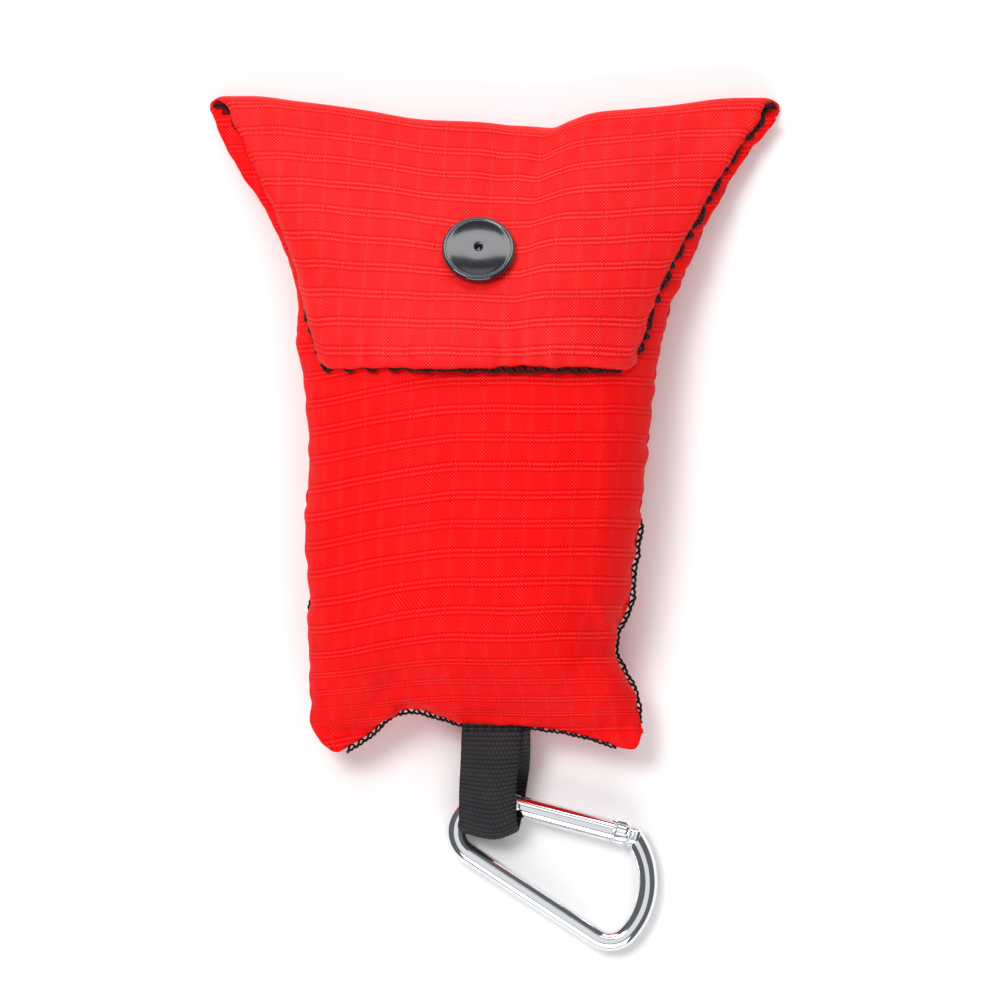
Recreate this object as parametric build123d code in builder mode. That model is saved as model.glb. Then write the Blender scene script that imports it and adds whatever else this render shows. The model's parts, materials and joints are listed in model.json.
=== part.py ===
"""First aid kit: a soft ripstop pouch on its back, closed by a flap and a snap, with a webbing
loop and a small gated carabiner.

Millimetres. +X is to the right of the pouch, +Y points at the fold of the flap, +Z comes out of
the front panel. The origin is the centre of the flat patch that the back panel rests on.
"""

import os
from math import atan2, cos, radians, sin, sqrt

from build123d import *

os.makedirs("parts", exist_ok=True)

# Pouch ---------------------------------------------------------------------------------------
CLOTH = 0.8            # one wall of coated nylon with its folded allowance
REST_PRESS = 0.3       # how far the table presses the back panel flat
SEAM_GAP = 0.1         # daylight between the two panels inside the side seams
BEAD_R = 0.55          # overlocked thread rolled along a seam
BACK_CORNER = 0.4      # share of the half width over which the back panel turns up

# One row for each cross-section of the pouch, from the bottom seam to the mouth:
# y, left edge, right edge, height of the side seam, height of the front, height of the back.
POUCH_STATIONS = [
    (-47.0, -29.5, 26.5, 8.6, 10.6, 6.4),
    (-42.0, -30.3, 26.6, 8.6, 17.0, 1.6),
    (-33.0, -30.2, 22.0, 8.6, 23.6, 0.0),
    (-20.0, -30.2, 25.2, 8.6, 26.8, 0.0),
    (-10.0, -30.4, 26.9, 8.6, 27.5, 0.0),
    (0.0, -30.6, 28.2, 8.5, 27.6, 0.0),
    (16.0, -31.4, 29.8, 8.0, 25.5, 0.0),
    (27.0, -32.4, 32.0, 7.2, 21.6, 0.0),
    (34.0, -33.8, 34.8, 6.6, 18.0, 0.0),
    (46.0, -39.8, 41.2, 5.0, 11.6, 0.0),
    (52.0, -43.4, 45.0, 4.0, 8.8, 0.0),
    (57.0, -46.0, 48.2, 3.2, 6.8, 0.0),
]
BACK_END = (58.6, -46.4, 48.8, 3.0, 0.0, 0.0)    # the back panel runs on to the fold

# Flap ----------------------------------------------------------------------------------------
FOLD_Y, FOLD_R = 59.3, 2.9          # centre and outer radius of the rolled fold
# y, left edge, right edge and the height of the flap over the front panel.
FLAP_STATIONS = [
    (16.0, -28.0, 25.4, 2.6),
    (27.0, -31.0, 30.6, 3.4),
    (34.0, -32.8, 33.6, 3.5),
    (46.0, -38.4, 39.8, 3.3),
    (52.0, -41.8, 43.4, 2.5),
    (57.0, -44.2, 46.4, 1.2),
]
FLAP_EDGE_GAP = 2.6    # height of the flap's side edge over the front panel
FLAP_ROOT_Y = 59.1     # where the flap leaves the fold
FLAP_ROOT = (-45.0, 48.2, 4.3)      # left, right and height of its edge there

# Snap button (a size 20 moulded snap) ----------------------------------------------------------
SNAP_X, SNAP_Y = -1.1, 34.0
CAP_R, CAP_H = 6.2, 1.7
POST_R = 0.9
SOCKET_R, SOCKET_H, SOCKET_WELL_R = 5.2, 1.8, 2.5
STUD_R, STUD_H, BULB_R, BULB_H = 5.2, 0.9, 2.2, 1.35
SEAT_SINK = 0.1        # how far each face of the snap presses into the cloth
PINCHED_CLOTH = 0.45   # cloth left between the two halves of a snap
RUNNING = 0.05         # radial clearance of a pin in its hole

# Webbing loop ----------------------------------------------------------------------------------
WEB_LEFT, WEB_RIGHT, WEB_T = -3.0, 6.1, 1.1
WEB_ROOT_Y, WEB_ROOT_Z = -49.5, 8.6
WEB_END_Y = -61.6      # centre of the bight around the rod
WEB_END_R = 3.95       # outer radius of the bight
STITCH_R = 0.2

# Carabiner --------------------------------------------------------------------------------------
ROD_R = 1.75
GATE_R = 1.9
SWING_Y, SWING_Z = -59.9, 3.5       # axis of the straight rod that hangs in the loop
CARABINER_DROOP = 4.0               # degrees the far side hangs down to the table
BEND_X, BEND_R = -0.5, 4.6          # centre and centreline radius of the small bend
SPINE_SLOPE, SPINE_L = 33.3, 26.8   # degrees below the straight rod, and length
CORNER_END = (24.9, -22.4)          # where the tight corner opens into the long nose arc
NOSE_END = (25.5, -5.2)
PIVOT = (5.5, -0.1)
ROD_END_X = 3.2                     # the round rod stops here and a flat tongue takes over
GATE_SLOPE = 15.0
GATE_L, LATCH_L = 20.0, 18.9        # pivot to the gate's end, and to its latch pin
TONGUE_T, TONGUE_R = 1.6, 1.45
FORK_R = 1.7                        # rounding of the gate's fork about its pivot
SLOT_T, SLOT_L = 1.9, 2.0           # the gate's slots around the tongues
PIVOT_PIN_R, LATCH_PIN_R = 0.7, 0.45
HOOK_R = 0.75                       # hollow of the nose hook around the latch pin
GATE_AIR = 0.35                     # daylight between the gate's end and the nose
BORE_R, BORE_END = 0.9, 10.0
PLUNGER_R, PLUNGER_L = 0.8, 3.0
SPRING_R, SPRING_WIRE = 0.7, 0.2

# What the pouch holds, stacked upwards: name, left, right, bottom, top, z low, z high -------------
PACKETS = [
    ("gauze_pad", -21.0, 14.0, -28.0, 20.0, 1.4, 4.2),
    ("glove_first", -22.0, 17.5, -32.0, 24.0, 4.5, 6.9),
    ("glove_second", -22.0, 17.5, -32.0, 24.0, 7.2, 9.6),
    ("plaster_first", -13.0, 7.0, -34.0, 26.0, 9.9, 10.6),
    ("plaster_second", -13.0, 7.0, -34.0, 26.0, 10.8, 11.5),
    ("plaster_third", -13.0, 7.0, -34.0, 26.0, 11.7, 12.4),
    ("plaster_fourth", -13.0, 7.0, -34.0, 26.0, 12.6, 13.3),
    ("face_shield", -23.0, 18.0, -28.0, 22.0, 13.6, 16.8),
    ("wipe_first", -21.0, 15.0, -26.0, 14.0, 17.1, 18.2),
    ("wipe_second", -21.0, 15.0, -26.0, 14.0, 18.5, 19.6),
]
VALVE_AT = (-3.0, -6.0, 19.9)
VALVE_FLANGE_R, VALVE_FLANGE_H = 10.0, 1.4
MOUTHPIECE_R, MOUTHPIECE_BORE_R, VALVE_H = 7.0, 4.5, 5.2


def section_plane(y):
    """Plane across the pouch at y, with the sketch's own axes along X and Z."""
    return Plane.XZ.offset(-y)


def arch_section(left, right, edge_z, crown_z, wall):
    """Half-elliptic arch of cloth over one cross-section, standing on its two edges."""
    middle = (left + right) / 2
    half = (right - left) / 2
    rise = crown_z - edge_z
    with BuildSketch(mode=Mode.PRIVATE) as arch:
        with BuildLine():
            outer = EllipticalCenterArc((middle, edge_z), half, rise, start_angle=0, arc_size=180)
            inner = EllipticalCenterArc(
                (middle, edge_z), half - wall, rise - wall, start_angle=0, arc_size=180)
            Line(outer @ 0, inner @ 0)
            Line(outer @ 1, inner @ 1)
        make_face()
    return arch.sketch


def trough_corners(left, right, edge_z, corner, inset, depth):
    """The two quarter ellipses of a trough, inset from its outside."""
    across, down = corner - inset, depth - inset
    left_arc = EllipticalCenterArc(
        (left + corner, edge_z), across, down, start_angle=180, arc_size=90)
    right_arc = EllipticalCenterArc(
        (right - corner, edge_z), across, down, start_angle=270, arc_size=90)
    return left_arc, right_arc


def trough_section(left, right, edge_z, floor_z, wall):
    """Flat-bottomed trough of cloth: two turned-up corners and the flat between them."""
    corner = BACK_CORNER * (right - left) / 2
    depth = edge_z - floor_z
    with BuildSketch(mode=Mode.PRIVATE) as trough:
        with BuildLine():
            left_out, right_out = trough_corners(left, right, edge_z, corner, 0, depth)
            Line(left_out @ 1, right_out @ 0)
            left_in, right_in = trough_corners(left, right, edge_z, corner, wall, depth)
            Line(left_in @ 1, right_in @ 0)
            Line(left_out @ 0, left_in @ 0)
            Line(right_out @ 1, right_in @ 1)
        make_face()
    return trough.sketch


def front_height(station, x):
    """Height of the outside of the front panel at x on one pouch station."""
    y, left, right, seam_z, crown_z, back_z = station
    middle, half = (left + right) / 2, (right - left) / 2
    across = min(1.0, abs(x - middle) / half)
    return seam_z + (crown_z - seam_z) * sqrt(1 - across**2)


def save(piece, name):
    piece.part.label = name
    export_step(piece.part, f"parts/{name}.step")


# Panels ----------------------------------------------------------------------------------------
with BuildPart() as front_panel:
    for y, left, right, seam_z, crown_z, back_z in POUCH_STATIONS:
        with BuildSketch(section_plane(y)):
            add(arch_section(left, right, seam_z + SEAM_GAP, crown_z, CLOTH))
    loft()

TABLE_W, TABLE_T = 200.0, 10.0     # block that presses the back panel flat at z = 0
with BuildPart() as back_panel:
    for y, left, right, seam_z, crown_z, back_z in POUCH_STATIONS + [BACK_END]:
        with BuildSketch(section_plane(y)):
            add(trough_section(left, right, seam_z, back_z - REST_PRESS, CLOTH))
    loft()
    with Locations((0, 0, -TABLE_T / 2)):
        Box(TABLE_W, TABLE_W, TABLE_T, mode=Mode.SUBTRACT)

# The rolled cloth between the back panel and the flap; it bends when the flap opens.
FOLD_LEFT, FOLD_RIGHT = -46.4, 49.0
FOLD_OPEN = 8.0        # degrees left free at each end of the roll
with BuildPart() as fold_strip:
    with BuildSketch(Plane.YZ.offset(FOLD_LEFT)):
        with BuildLine():
            roll_out = CenterArc((FOLD_Y, FOLD_R), FOLD_R, FOLD_OPEN - 90, 180 - 2 * FOLD_OPEN)
            roll_in = CenterArc((FOLD_Y, FOLD_R), FOLD_R - CLOTH, FOLD_OPEN - 90, 180 - 2 * FOLD_OPEN)
            Line(roll_out @ 0, roll_in @ 0)
            Line(roll_out @ 1, roll_in @ 1)
        make_face()
    extrude(amount=FOLD_RIGHT - FOLD_LEFT)


def flap_rows():
    """Cross-sections of the flap: y, left, right, edge height and crown height (outside)."""
    panel = {station[0]: station for station in POUCH_STATIONS}
    rows = []
    for y, left, right, lift in FLAP_STATIONS:
        edge_z = max(front_height(panel[y], left), front_height(panel[y], right)) + FLAP_EDGE_GAP
        rows.append((y, left, right, edge_z, panel[y][4] + lift + CLOTH))
    left, right, edge_z = FLAP_ROOT
    rows.append((FLAP_ROOT_Y, left, right, edge_z, 2 * FOLD_R))
    return rows


FLAP_ROWS = flap_rows()

# Snap plane: on the outside of the front panel, leaning with its slope.
snap_row = {station[0]: station for station in POUCH_STATIONS}
SNAP_SLOPE = atan2(snap_row[27.0][4] - snap_row[46.0][4], 46.0 - 27.0)
SNAP_Z = front_height(snap_row[SNAP_Y], SNAP_X)
snap_plane = Plane(
    origin=(SNAP_X, SNAP_Y, SNAP_Z), x_dir=(1, 0, 0), z_dir=(0, sin(SNAP_SLOPE), cos(SNAP_SLOPE))
)
flap_under = next(row for row in FLAP_STATIONS if row[0] == SNAP_Y)[3] * cos(SNAP_SLOPE)
STUD_SEAT = -SEAT_SINK
STUD_CAP_SEAT = STUD_SEAT - PINCHED_CLOTH
SOCKET_SEAT = flap_under + SEAT_SINK
CAP_SEAT = SOCKET_SEAT + PINCHED_CLOTH
SEAT_DEPTH = 1.5       # height of the cutters that press the seats flat


def press_seat(z_low, z_high, radius):
    """Flatten cloth between two heights of the snap plane."""
    with BuildSketch(snap_plane.offset(z_low), mode=Mode.PRIVATE) as seat:
        Circle(radius)
    extrude(seat.sketch, amount=z_high - z_low, mode=Mode.SUBTRACT)


with BuildPart() as flap:
    for y, left, right, edge_z, crown_z in FLAP_ROWS:
        with BuildSketch(section_plane(y)):
            add(arch_section(left, right, edge_z, crown_z, CLOTH))
    loft()
    press_seat(CAP_SEAT, CAP_SEAT + SEAT_DEPTH, CAP_R + RUNNING)
    press_seat(SOCKET_SEAT - SEAT_DEPTH, SOCKET_SEAT, SOCKET_R + RUNNING)
    press_seat(SOCKET_SEAT - SEAT_DEPTH, CAP_SEAT + SEAT_DEPTH, POST_R + RUNNING)

with front_panel:
    press_seat(STUD_SEAT, STUD_SEAT + SEAT_DEPTH, STUD_R + RUNNING)
    press_seat(STUD_CAP_SEAT - SEAT_DEPTH, STUD_CAP_SEAT, CAP_R + RUNNING)
    press_seat(STUD_CAP_SEAT - SEAT_DEPTH, STUD_SEAT + SEAT_DEPTH, POST_R + RUNNING)

for name, panel in (("front_panel", front_panel), ("back_panel", back_panel),
                    ("fold_strip", fold_strip), ("flap", flap)):
    save(panel, name)


# Overlocked thread along the seams ---------------------------------------------------------------
def thread_bead(points, radius):
    """Round bead lofted through circles that stand across the seam at each point (x, y, z)."""
    with BuildPart() as bead:
        for x, y, z in points:
            with BuildSketch(section_plane(y)):
                with Locations((x, z)):
                    Circle(radius)
        loft()
    return bead


BEAD_OUT = BEAD_R + 0.8
side_rows = POUCH_STATIONS[:-1]
save(thread_bead([(row[1] - BEAD_OUT, row[0], row[3]) for row in side_rows], BEAD_R), "side_seam_left")
save(thread_bead([(row[2] + BEAD_OUT, row[0], row[3]) for row in side_rows], BEAD_R), "side_seam_right")

BOTTOM_SEAM_Y = POUCH_STATIONS[0][0] - BEAD_R - 0.1
BOTTOM_SEAM_Z = POUCH_STATIONS[0][3]
with BuildPart() as bottom_seam:
    with BuildSketch(Plane.YZ.offset(POUCH_STATIONS[0][1])):
        with Locations((BOTTOM_SEAM_Y, BOTTOM_SEAM_Z)):
            Circle(BEAD_R)
    extrude(amount=POUCH_STATIONS[0][2] - POUCH_STATIONS[0][1])
save(bottom_seam, "bottom_seam")

# Overlock hidden under the flap's raw edges.
HEM_R = 0.35
HEM_DROP = HEM_R + 0.75
hem_rows = FLAP_ROWS[:-2]
left_hem = [(row[1] + HEM_R, row[0], row[3] - HEM_DROP) for row in hem_rows]
right_hem = [(row[2] - HEM_R, row[0], row[3] - HEM_DROP) for row in hem_rows]
save(thread_bead(left_hem, HEM_R), "flap_overlock_left")
save(thread_bead(right_hem, HEM_R), "flap_overlock_right")

end_y, end_left, end_right, end_edge_z, end_crown_z = FLAP_ROWS[0]
with BuildPart() as flap_overlock_end:
    end_middle, end_half = (end_left + end_right) / 2, (end_right - end_left) / 2
    end_rise = end_crown_z - end_edge_z
    with BuildSketch(section_plane(end_y)):
        with BuildLine():
            hem_out = EllipticalCenterArc(
                (end_middle, end_edge_z), end_half - 0.2, end_rise - 0.2, start_angle=25, arc_size=130)
            hem_in = EllipticalCenterArc(
                (end_middle, end_edge_z), end_half - CLOTH + 0.2, end_rise - CLOTH + 0.2,
                start_angle=25, arc_size=130)
            Line(hem_out @ 0, hem_in @ 0)
            Line(hem_out @ 1, hem_in @ 1)
        make_face()
    extrude(amount=2 * HEM_R)
save(flap_overlock_end, "flap_overlock_end")


# Snap --------------------------------------------------------------------------------------------
RIM_W, RIM_H, DIMPLE_R, DIMPLE_H = 0.7, 0.25, 2.4, 0.2
with BuildPart() as snap_cap:
    with BuildSketch(snap_plane.offset(CAP_SEAT)):
        Circle(CAP_R)
    extrude(amount=CAP_H)
    fillet(snap_cap.edges().group_by(SortBy.LENGTH)[-1].sort_by(Axis.Z)[-1], 0.5)
    with BuildSketch(snap_plane.offset(CAP_SEAT + CAP_H)):
        Circle(CAP_R - RIM_W)
    extrude(amount=-RIM_H, mode=Mode.SUBTRACT)
    with BuildSketch(snap_plane.offset(CAP_SEAT + CAP_H)):
        Circle(DIMPLE_R)
    extrude(amount=-RIM_H - DIMPLE_H, mode=Mode.SUBTRACT)
    with BuildSketch(snap_plane.offset(CAP_SEAT)):
        Circle(POST_R)
    extrude(amount=-PINCHED_CLOTH - 0.5)
save(snap_cap, "snap_cap")

SOCKET_BASE = 0.5
with BuildPart() as snap_socket:
    with BuildSketch(snap_plane.offset(SOCKET_SEAT)):
        Circle(SOCKET_R)
    extrude(amount=-SOCKET_H)
    with BuildSketch(snap_plane.offset(SOCKET_SEAT - SOCKET_BASE)):
        Circle(SOCKET_WELL_R)
    extrude(amount=-SOCKET_H, mode=Mode.SUBTRACT)
    with BuildSketch(snap_plane.offset(SOCKET_SEAT)):
        Circle(POST_R + RUNNING)
    extrude(amount=-SOCKET_H, mode=Mode.SUBTRACT)
save(snap_socket, "snap_socket")

with BuildPart() as snap_stud:
    with BuildSketch(snap_plane.offset(STUD_SEAT)):
        Circle(STUD_R)
    extrude(amount=STUD_H)
    with BuildSketch(snap_plane.offset(STUD_SEAT + STUD_H)):
        Circle(BULB_R)
    extrude(amount=BULB_H)
    fillet(snap_stud.edges().sort_by(Axis.Z)[-1], 0.4)
    with BuildSketch(snap_plane.offset(STUD_SEAT)):
        Circle(POST_R + RUNNING)
    extrude(amount=STUD_H + BULB_H - 0.5, mode=Mode.SUBTRACT)
save(snap_stud, "snap_stud")

with BuildPart() as snap_stud_cap:
    with BuildSketch(snap_plane.offset(STUD_CAP_SEAT)):
        Circle(CAP_R)
    extrude(amount=-0.9)
    fillet(snap_stud_cap.edges().sort_by(Axis.Z)[0], 0.3)
    with BuildSketch(snap_plane.offset(STUD_CAP_SEAT)):
        Circle(POST_R)
    extrude(amount=PINCHED_CLOTH + 1.2)
save(snap_stud_cap, "snap_stud_cap")


# Webbing loop --------------------------------------------------------------------------------------
BIGHT_CENTRE = (WEB_END_Y, WEB_END_R)
with BuildPart() as webbing_loop:
    with BuildSketch(Plane.YZ.offset(WEB_LEFT)):
        with BuildLine():
            bight = CenterArc(BIGHT_CENTRE, WEB_END_R, 95, 175)
            front = Line(bight @ 0, (WEB_ROOT_Y, WEB_ROOT_Z + WEB_T))
            under = Line(bight @ 1, (WEB_ROOT_Y - 5.6, 0))
            rise = Line(under @ 1, (WEB_ROOT_Y, WEB_ROOT_Z - WEB_T))
            Line(front @ 1, rise @ 1)
        make_face()
        with BuildLine():
            bight_in = CenterArc(BIGHT_CENTRE, WEB_END_R - WEB_T, 95, 175)
            front_in = Line(bight_in @ 0, (WEB_ROOT_Y - 1.6, WEB_ROOT_Z))
            under_in = Line(bight_in @ 1, (WEB_ROOT_Y - 6.2, WEB_T))
            Line(under_in @ 1, front_in @ 1)
        make_face(mode=Mode.SUBTRACT)
    extrude(amount=WEB_RIGHT - WEB_LEFT)
save(webbing_loop, "webbing_loop")

# A row of stitching across the root holds the two layers together.
STITCH_INSET = 0.6
with BuildPart() as loop_stitching:
    with BuildSketch(Plane.YZ.offset((WEB_LEFT + WEB_RIGHT) / 2)):
        with Locations((WEB_ROOT_Y - STITCH_INSET, WEB_ROOT_Z + WEB_T + STITCH_R + RUNNING)):
            Circle(STITCH_R)
    extrude(amount=(WEB_RIGHT - WEB_LEFT) / 2 - STITCH_INSET, both=True)
save(loop_stitching, "loop_stitching")


# Carabiner -------------------------------------------------------------------------------------------
# Its own plane runs through the swing axis and droops to the table on the far side.
droop = radians(CARABINER_DROOP)
carabiner_plane = Plane(
    origin=(0, SWING_Y, SWING_Z), x_dir=(1, 0, 0), z_dir=(0, -sin(droop), cos(droop))
)
spine_run = (cos(radians(SPINE_SLOPE)), -sin(radians(SPINE_SLOPE)))
bend_tip = (BEND_X + BEND_R * spine_run[1], -BEND_R - BEND_R * spine_run[0])
spine_end = (bend_tip[0] + SPINE_L * spine_run[0], bend_tip[1] + SPINE_L * spine_run[1])
gate_run = (cos(radians(GATE_SLOPE)), -sin(radians(GATE_SLOPE)))
pivot_point = carabiner_plane.from_local_coords((*PIVOT, 0))
gate_dir = carabiner_plane.from_local_coords((*gate_run, 0)) - carabiner_plane.origin
gate_plane = Plane(origin=pivot_point, x_dir=gate_dir, z_dir=carabiner_plane.z_dir)
latch_plane = Plane(
    origin=pivot_point + gate_dir * LATCH_L, x_dir=gate_dir, z_dir=carabiner_plane.z_dir
)


def cut_slot(start, length):
    """Cut a slot for a tongue right across the gate, from start along it."""
    with BuildSketch(gate_plane, mode=Mode.PRIVATE) as slot:
        with Locations((start + length / 2, 0)):
            Rectangle(length, 3 * GATE_R)
    extrude(slot.sketch, amount=SLOT_T / 2, both=True, mode=Mode.SUBTRACT)


with BuildPart() as carabiner_body:
    with BuildLine(carabiner_plane) as rod_path:
        Line((ROD_END_X, 0), (BEND_X, 0))
        CenterArc((BEND_X, -BEND_R), BEND_R, 90, 180 - SPINE_SLOPE)
        spine = Line(bend_tip, spine_end)
        corner = TangentArc(spine @ 1, CORNER_END, tangent=spine % 1)
        TangentArc(corner @ 1, NOSE_END, tangent=corner % 1)
    with BuildSketch(Plane(origin=rod_path.line @ 0, z_dir=(-1, 0, 0))):
        Circle(ROD_R)
    sweep()
    # The nose is cut back round, so that the gate's end can pass it.
    with BuildSketch(carabiner_plane):
        with Locations(PIVOT):
            Circle(GATE_L + GATE_AIR)
        with Locations((NOSE_END[0], NOSE_END[1])):
            Rectangle(14, 14, mode=Mode.INTERSECT)
    extrude(amount=2 * ROD_R, both=True, mode=Mode.SUBTRACT)
    # Tongue that carries the gate's pivot.
    with BuildSketch(carabiner_plane):
        with Locations(PIVOT):
            Circle(TONGUE_R)
        with Locations(((PIVOT[0] + ROD_END_X - 0.5) / 2, PIVOT[1])):
            Rectangle(PIVOT[0] - ROD_END_X + 0.5, 2 * TONGUE_R)
        with Locations(PIVOT):
            Circle(PIVOT_PIN_R, mode=Mode.SUBTRACT)
    extrude(amount=TONGUE_T / 2, both=True)
    # Hook on the nose that holds the latch pin and lets it leave inwards.
    with BuildSketch(latch_plane):
        with Locations((0.75, 0.5)):
            Rectangle(3.7, 1.4)
        with Locations((1.7, -0.2)):
            Rectangle(1.8, 2.4)
        Circle(HOOK_R, mode=Mode.SUBTRACT)
        with Locations((0, -1)):
            Rectangle(2 * HOOK_R, 2, mode=Mode.SUBTRACT)
    extrude(amount=TONGUE_T / 2, both=True)
save(carabiner_body, "carabiner_body")

with BuildPart() as carabiner_gate:
    with BuildSketch(Plane(origin=pivot_point - gate_dir * GATE_R, z_dir=gate_dir)):
        Circle(GATE_R)
    extrude(amount=GATE_L + GATE_R)
    with BuildSketch(gate_plane):
        Circle(FORK_R)
        with Locations((GATE_L / 2, 0)):
            Rectangle(GATE_L, 2.2 * GATE_R)
    extrude(amount=2 * GATE_R, both=True, mode=Mode.INTERSECT)
    cut_slot(-2 * GATE_R, SLOT_L + 2 * GATE_R)
    cut_slot(LATCH_L - SLOT_L, 2 * SLOT_L)
    with BuildSketch(Plane(origin=pivot_point, z_dir=gate_dir)):
        Circle(BORE_R)
    extrude(amount=BORE_END, mode=Mode.SUBTRACT)
    with BuildSketch(gate_plane):
        Circle(PIVOT_PIN_R + RUNNING)
        with Locations((LATCH_L, 0)):
            Circle(LATCH_PIN_R)
    extrude(amount=2 * GATE_R, both=True, mode=Mode.SUBTRACT)
save(carabiner_gate, "carabiner_gate")

PIN_HALF = 1.85
with BuildPart() as gate_pivot_pin:
    with BuildSketch(gate_plane):
        Circle(PIVOT_PIN_R)
    extrude(amount=PIN_HALF, both=True)
save(gate_pivot_pin, "gate_pivot_pin")

with BuildPart() as gate_latch_pin:
    with BuildSketch(latch_plane):
        Circle(LATCH_PIN_R)
    extrude(amount=PIN_HALF, both=True)
save(gate_latch_pin, "gate_latch_pin")

PLUNGER_START = TONGUE_R + 0.15
with BuildPart() as gate_plunger:
    with BuildSketch(Plane(origin=pivot_point + gate_dir * PLUNGER_START, z_dir=gate_dir)):
        Circle(PLUNGER_R)
    extrude(amount=PLUNGER_L)
save(gate_plunger, "gate_plunger")

SPRING_START = PLUNGER_START + PLUNGER_L + 0.05
with BuildPart() as gate_spring:
    with BuildSketch(Plane(origin=pivot_point + gate_dir * SPRING_START, z_dir=gate_dir)):
        Circle(SPRING_R)
        Circle(SPRING_R - SPRING_WIRE, mode=Mode.SUBTRACT)
    extrude(amount=BORE_END - 0.05 - SPRING_START)
save(gate_spring, "gate_spring")


# Contents --------------------------------------------------------------------------------------------
for name, left, right, low_y, high_y, low_z, high_z in PACKETS:
    with BuildPart() as packet:
        with BuildSketch(Plane.XY.offset(low_z)):
            with Locations(((left + right) / 2, (low_y + high_y) / 2)):
                RectangleRounded(right - left, high_y - low_y, 2.0)
        extrude(amount=high_z - low_z)
    save(packet, name)

with BuildPart() as shield_valve:
    with BuildSketch(Plane.XY.offset(VALVE_AT[2])):
        with Locations(VALVE_AT[:2]):
            Circle(VALVE_FLANGE_R)
    extrude(amount=VALVE_FLANGE_H)
    with BuildSketch(Plane.XY.offset(VALVE_AT[2])):
        with Locations(VALVE_AT[:2]):
            Circle(MOUTHPIECE_R)
    extrude(amount=VALVE_H)
    with BuildSketch(Plane.XY.offset(VALVE_AT[2])):
        with Locations(VALVE_AT[:2]):
            Circle(MOUTHPIECE_BORE_R)
    extrude(amount=VALVE_H, mode=Mode.SUBTRACT)
save(shield_valve, "shield_valve")
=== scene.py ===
import json
from functools import partial
from math import atan2, cos, degrees, pi, radians, sin

import bmesh
import bpy
import numpy as np
from mathutils import Matrix, Vector


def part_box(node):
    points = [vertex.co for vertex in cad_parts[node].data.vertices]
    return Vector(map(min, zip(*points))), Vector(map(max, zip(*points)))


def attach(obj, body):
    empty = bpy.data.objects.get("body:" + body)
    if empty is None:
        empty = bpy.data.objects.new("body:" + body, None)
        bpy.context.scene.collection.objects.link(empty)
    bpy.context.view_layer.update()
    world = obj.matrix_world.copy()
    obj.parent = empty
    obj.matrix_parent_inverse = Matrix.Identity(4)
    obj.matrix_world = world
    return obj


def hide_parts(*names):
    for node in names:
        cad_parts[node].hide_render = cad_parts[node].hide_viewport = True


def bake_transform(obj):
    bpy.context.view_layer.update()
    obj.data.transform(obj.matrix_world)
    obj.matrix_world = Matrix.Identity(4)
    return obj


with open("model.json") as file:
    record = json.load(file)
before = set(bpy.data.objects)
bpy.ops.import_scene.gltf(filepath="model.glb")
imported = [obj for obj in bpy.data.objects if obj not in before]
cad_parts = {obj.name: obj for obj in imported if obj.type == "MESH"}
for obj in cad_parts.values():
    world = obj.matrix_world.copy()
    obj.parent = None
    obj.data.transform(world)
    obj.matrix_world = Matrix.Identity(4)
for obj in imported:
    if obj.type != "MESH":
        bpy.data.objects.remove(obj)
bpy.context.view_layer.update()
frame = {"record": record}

MM = 0.001
rng = np.random.default_rng(7)

# === Sizes of the cloth, in millimetres ===
RIPSTOP_ALONG = 4.9      # between the heavier yarns that run across the pouch
RIPSTOP_ACROSS = 4.15    # between the heavier yarns that run along it
YARN = 0.6               # one crossing of the fine weave, drawn twice as coarse so that it shows
ROW_PAIR = 0.42          # either of a pair of heavier yarns from the middle between them
CLOTH_T = 0.35           # coated ripstop with a folded allowance
PANEL_COLUMNS, PANEL_ROWS = 170, 210
FLAP_COLUMNS, FLAP_ROWS = 190, 150


# === Small tools ===
def smooth_curve(points):
    """A function that passes smoothly through (position, value) points, flat past its ends."""
    xs = np.array([p[0] for p in points], float)
    ys = np.array([p[1] for p in points], float)
    steps = np.diff(ys) / np.diff(xs)
    slopes = np.zeros_like(ys)
    slopes[1:-1] = np.where(steps[:-1] * steps[1:] > 0, (steps[:-1] + steps[1:]) / 2, 0)
    slopes[0], slopes[-1] = steps[0], steps[-1]

    def value(x):
        x = np.clip(np.asarray(x, float), xs[0], xs[-1])
        i = np.clip(np.searchsorted(xs, x) - 1, 0, len(xs) - 2)
        h = xs[i + 1] - xs[i]
        t = (x - xs[i]) / h
        return ((2 * t**3 - 3 * t**2 + 1) * ys[i] + (t**3 - 2 * t**2 + t) * h * slopes[i]
                + (3 * t**2 - 2 * t**3) * ys[i + 1] + (t**3 - t**2) * h * slopes[i + 1])

    return value


def ease(x, low, high):
    """0 at low, 1 at high, smooth between."""
    t = np.clip((np.asarray(x, float) - low) / (high - low), 0, 1)
    return t * t * (3 - 2 * t)


def gentle_noise(waves, shortest, longest):
    """A smooth random function of two coordinates in millimetres, about -1 to 1."""
    lengths = rng.uniform(shortest, longest, waves)
    turns = rng.uniform(0, 2 * pi, waves)
    phases = rng.uniform(0, 2 * pi, waves)

    def value(a, b):
        total = np.zeros(np.broadcast(a, b).shape)
        for length, turn, phase in zip(lengths, turns, phases):
            total = total + np.sin(2 * pi * (a * cos(turn) + b * sin(turn)) / length + phase)
        return total / waves**0.5

    return value


def unit(vectors):
    return vectors / np.maximum(np.linalg.norm(vectors, axis=-1, keepdims=True), 1e-9)


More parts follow.
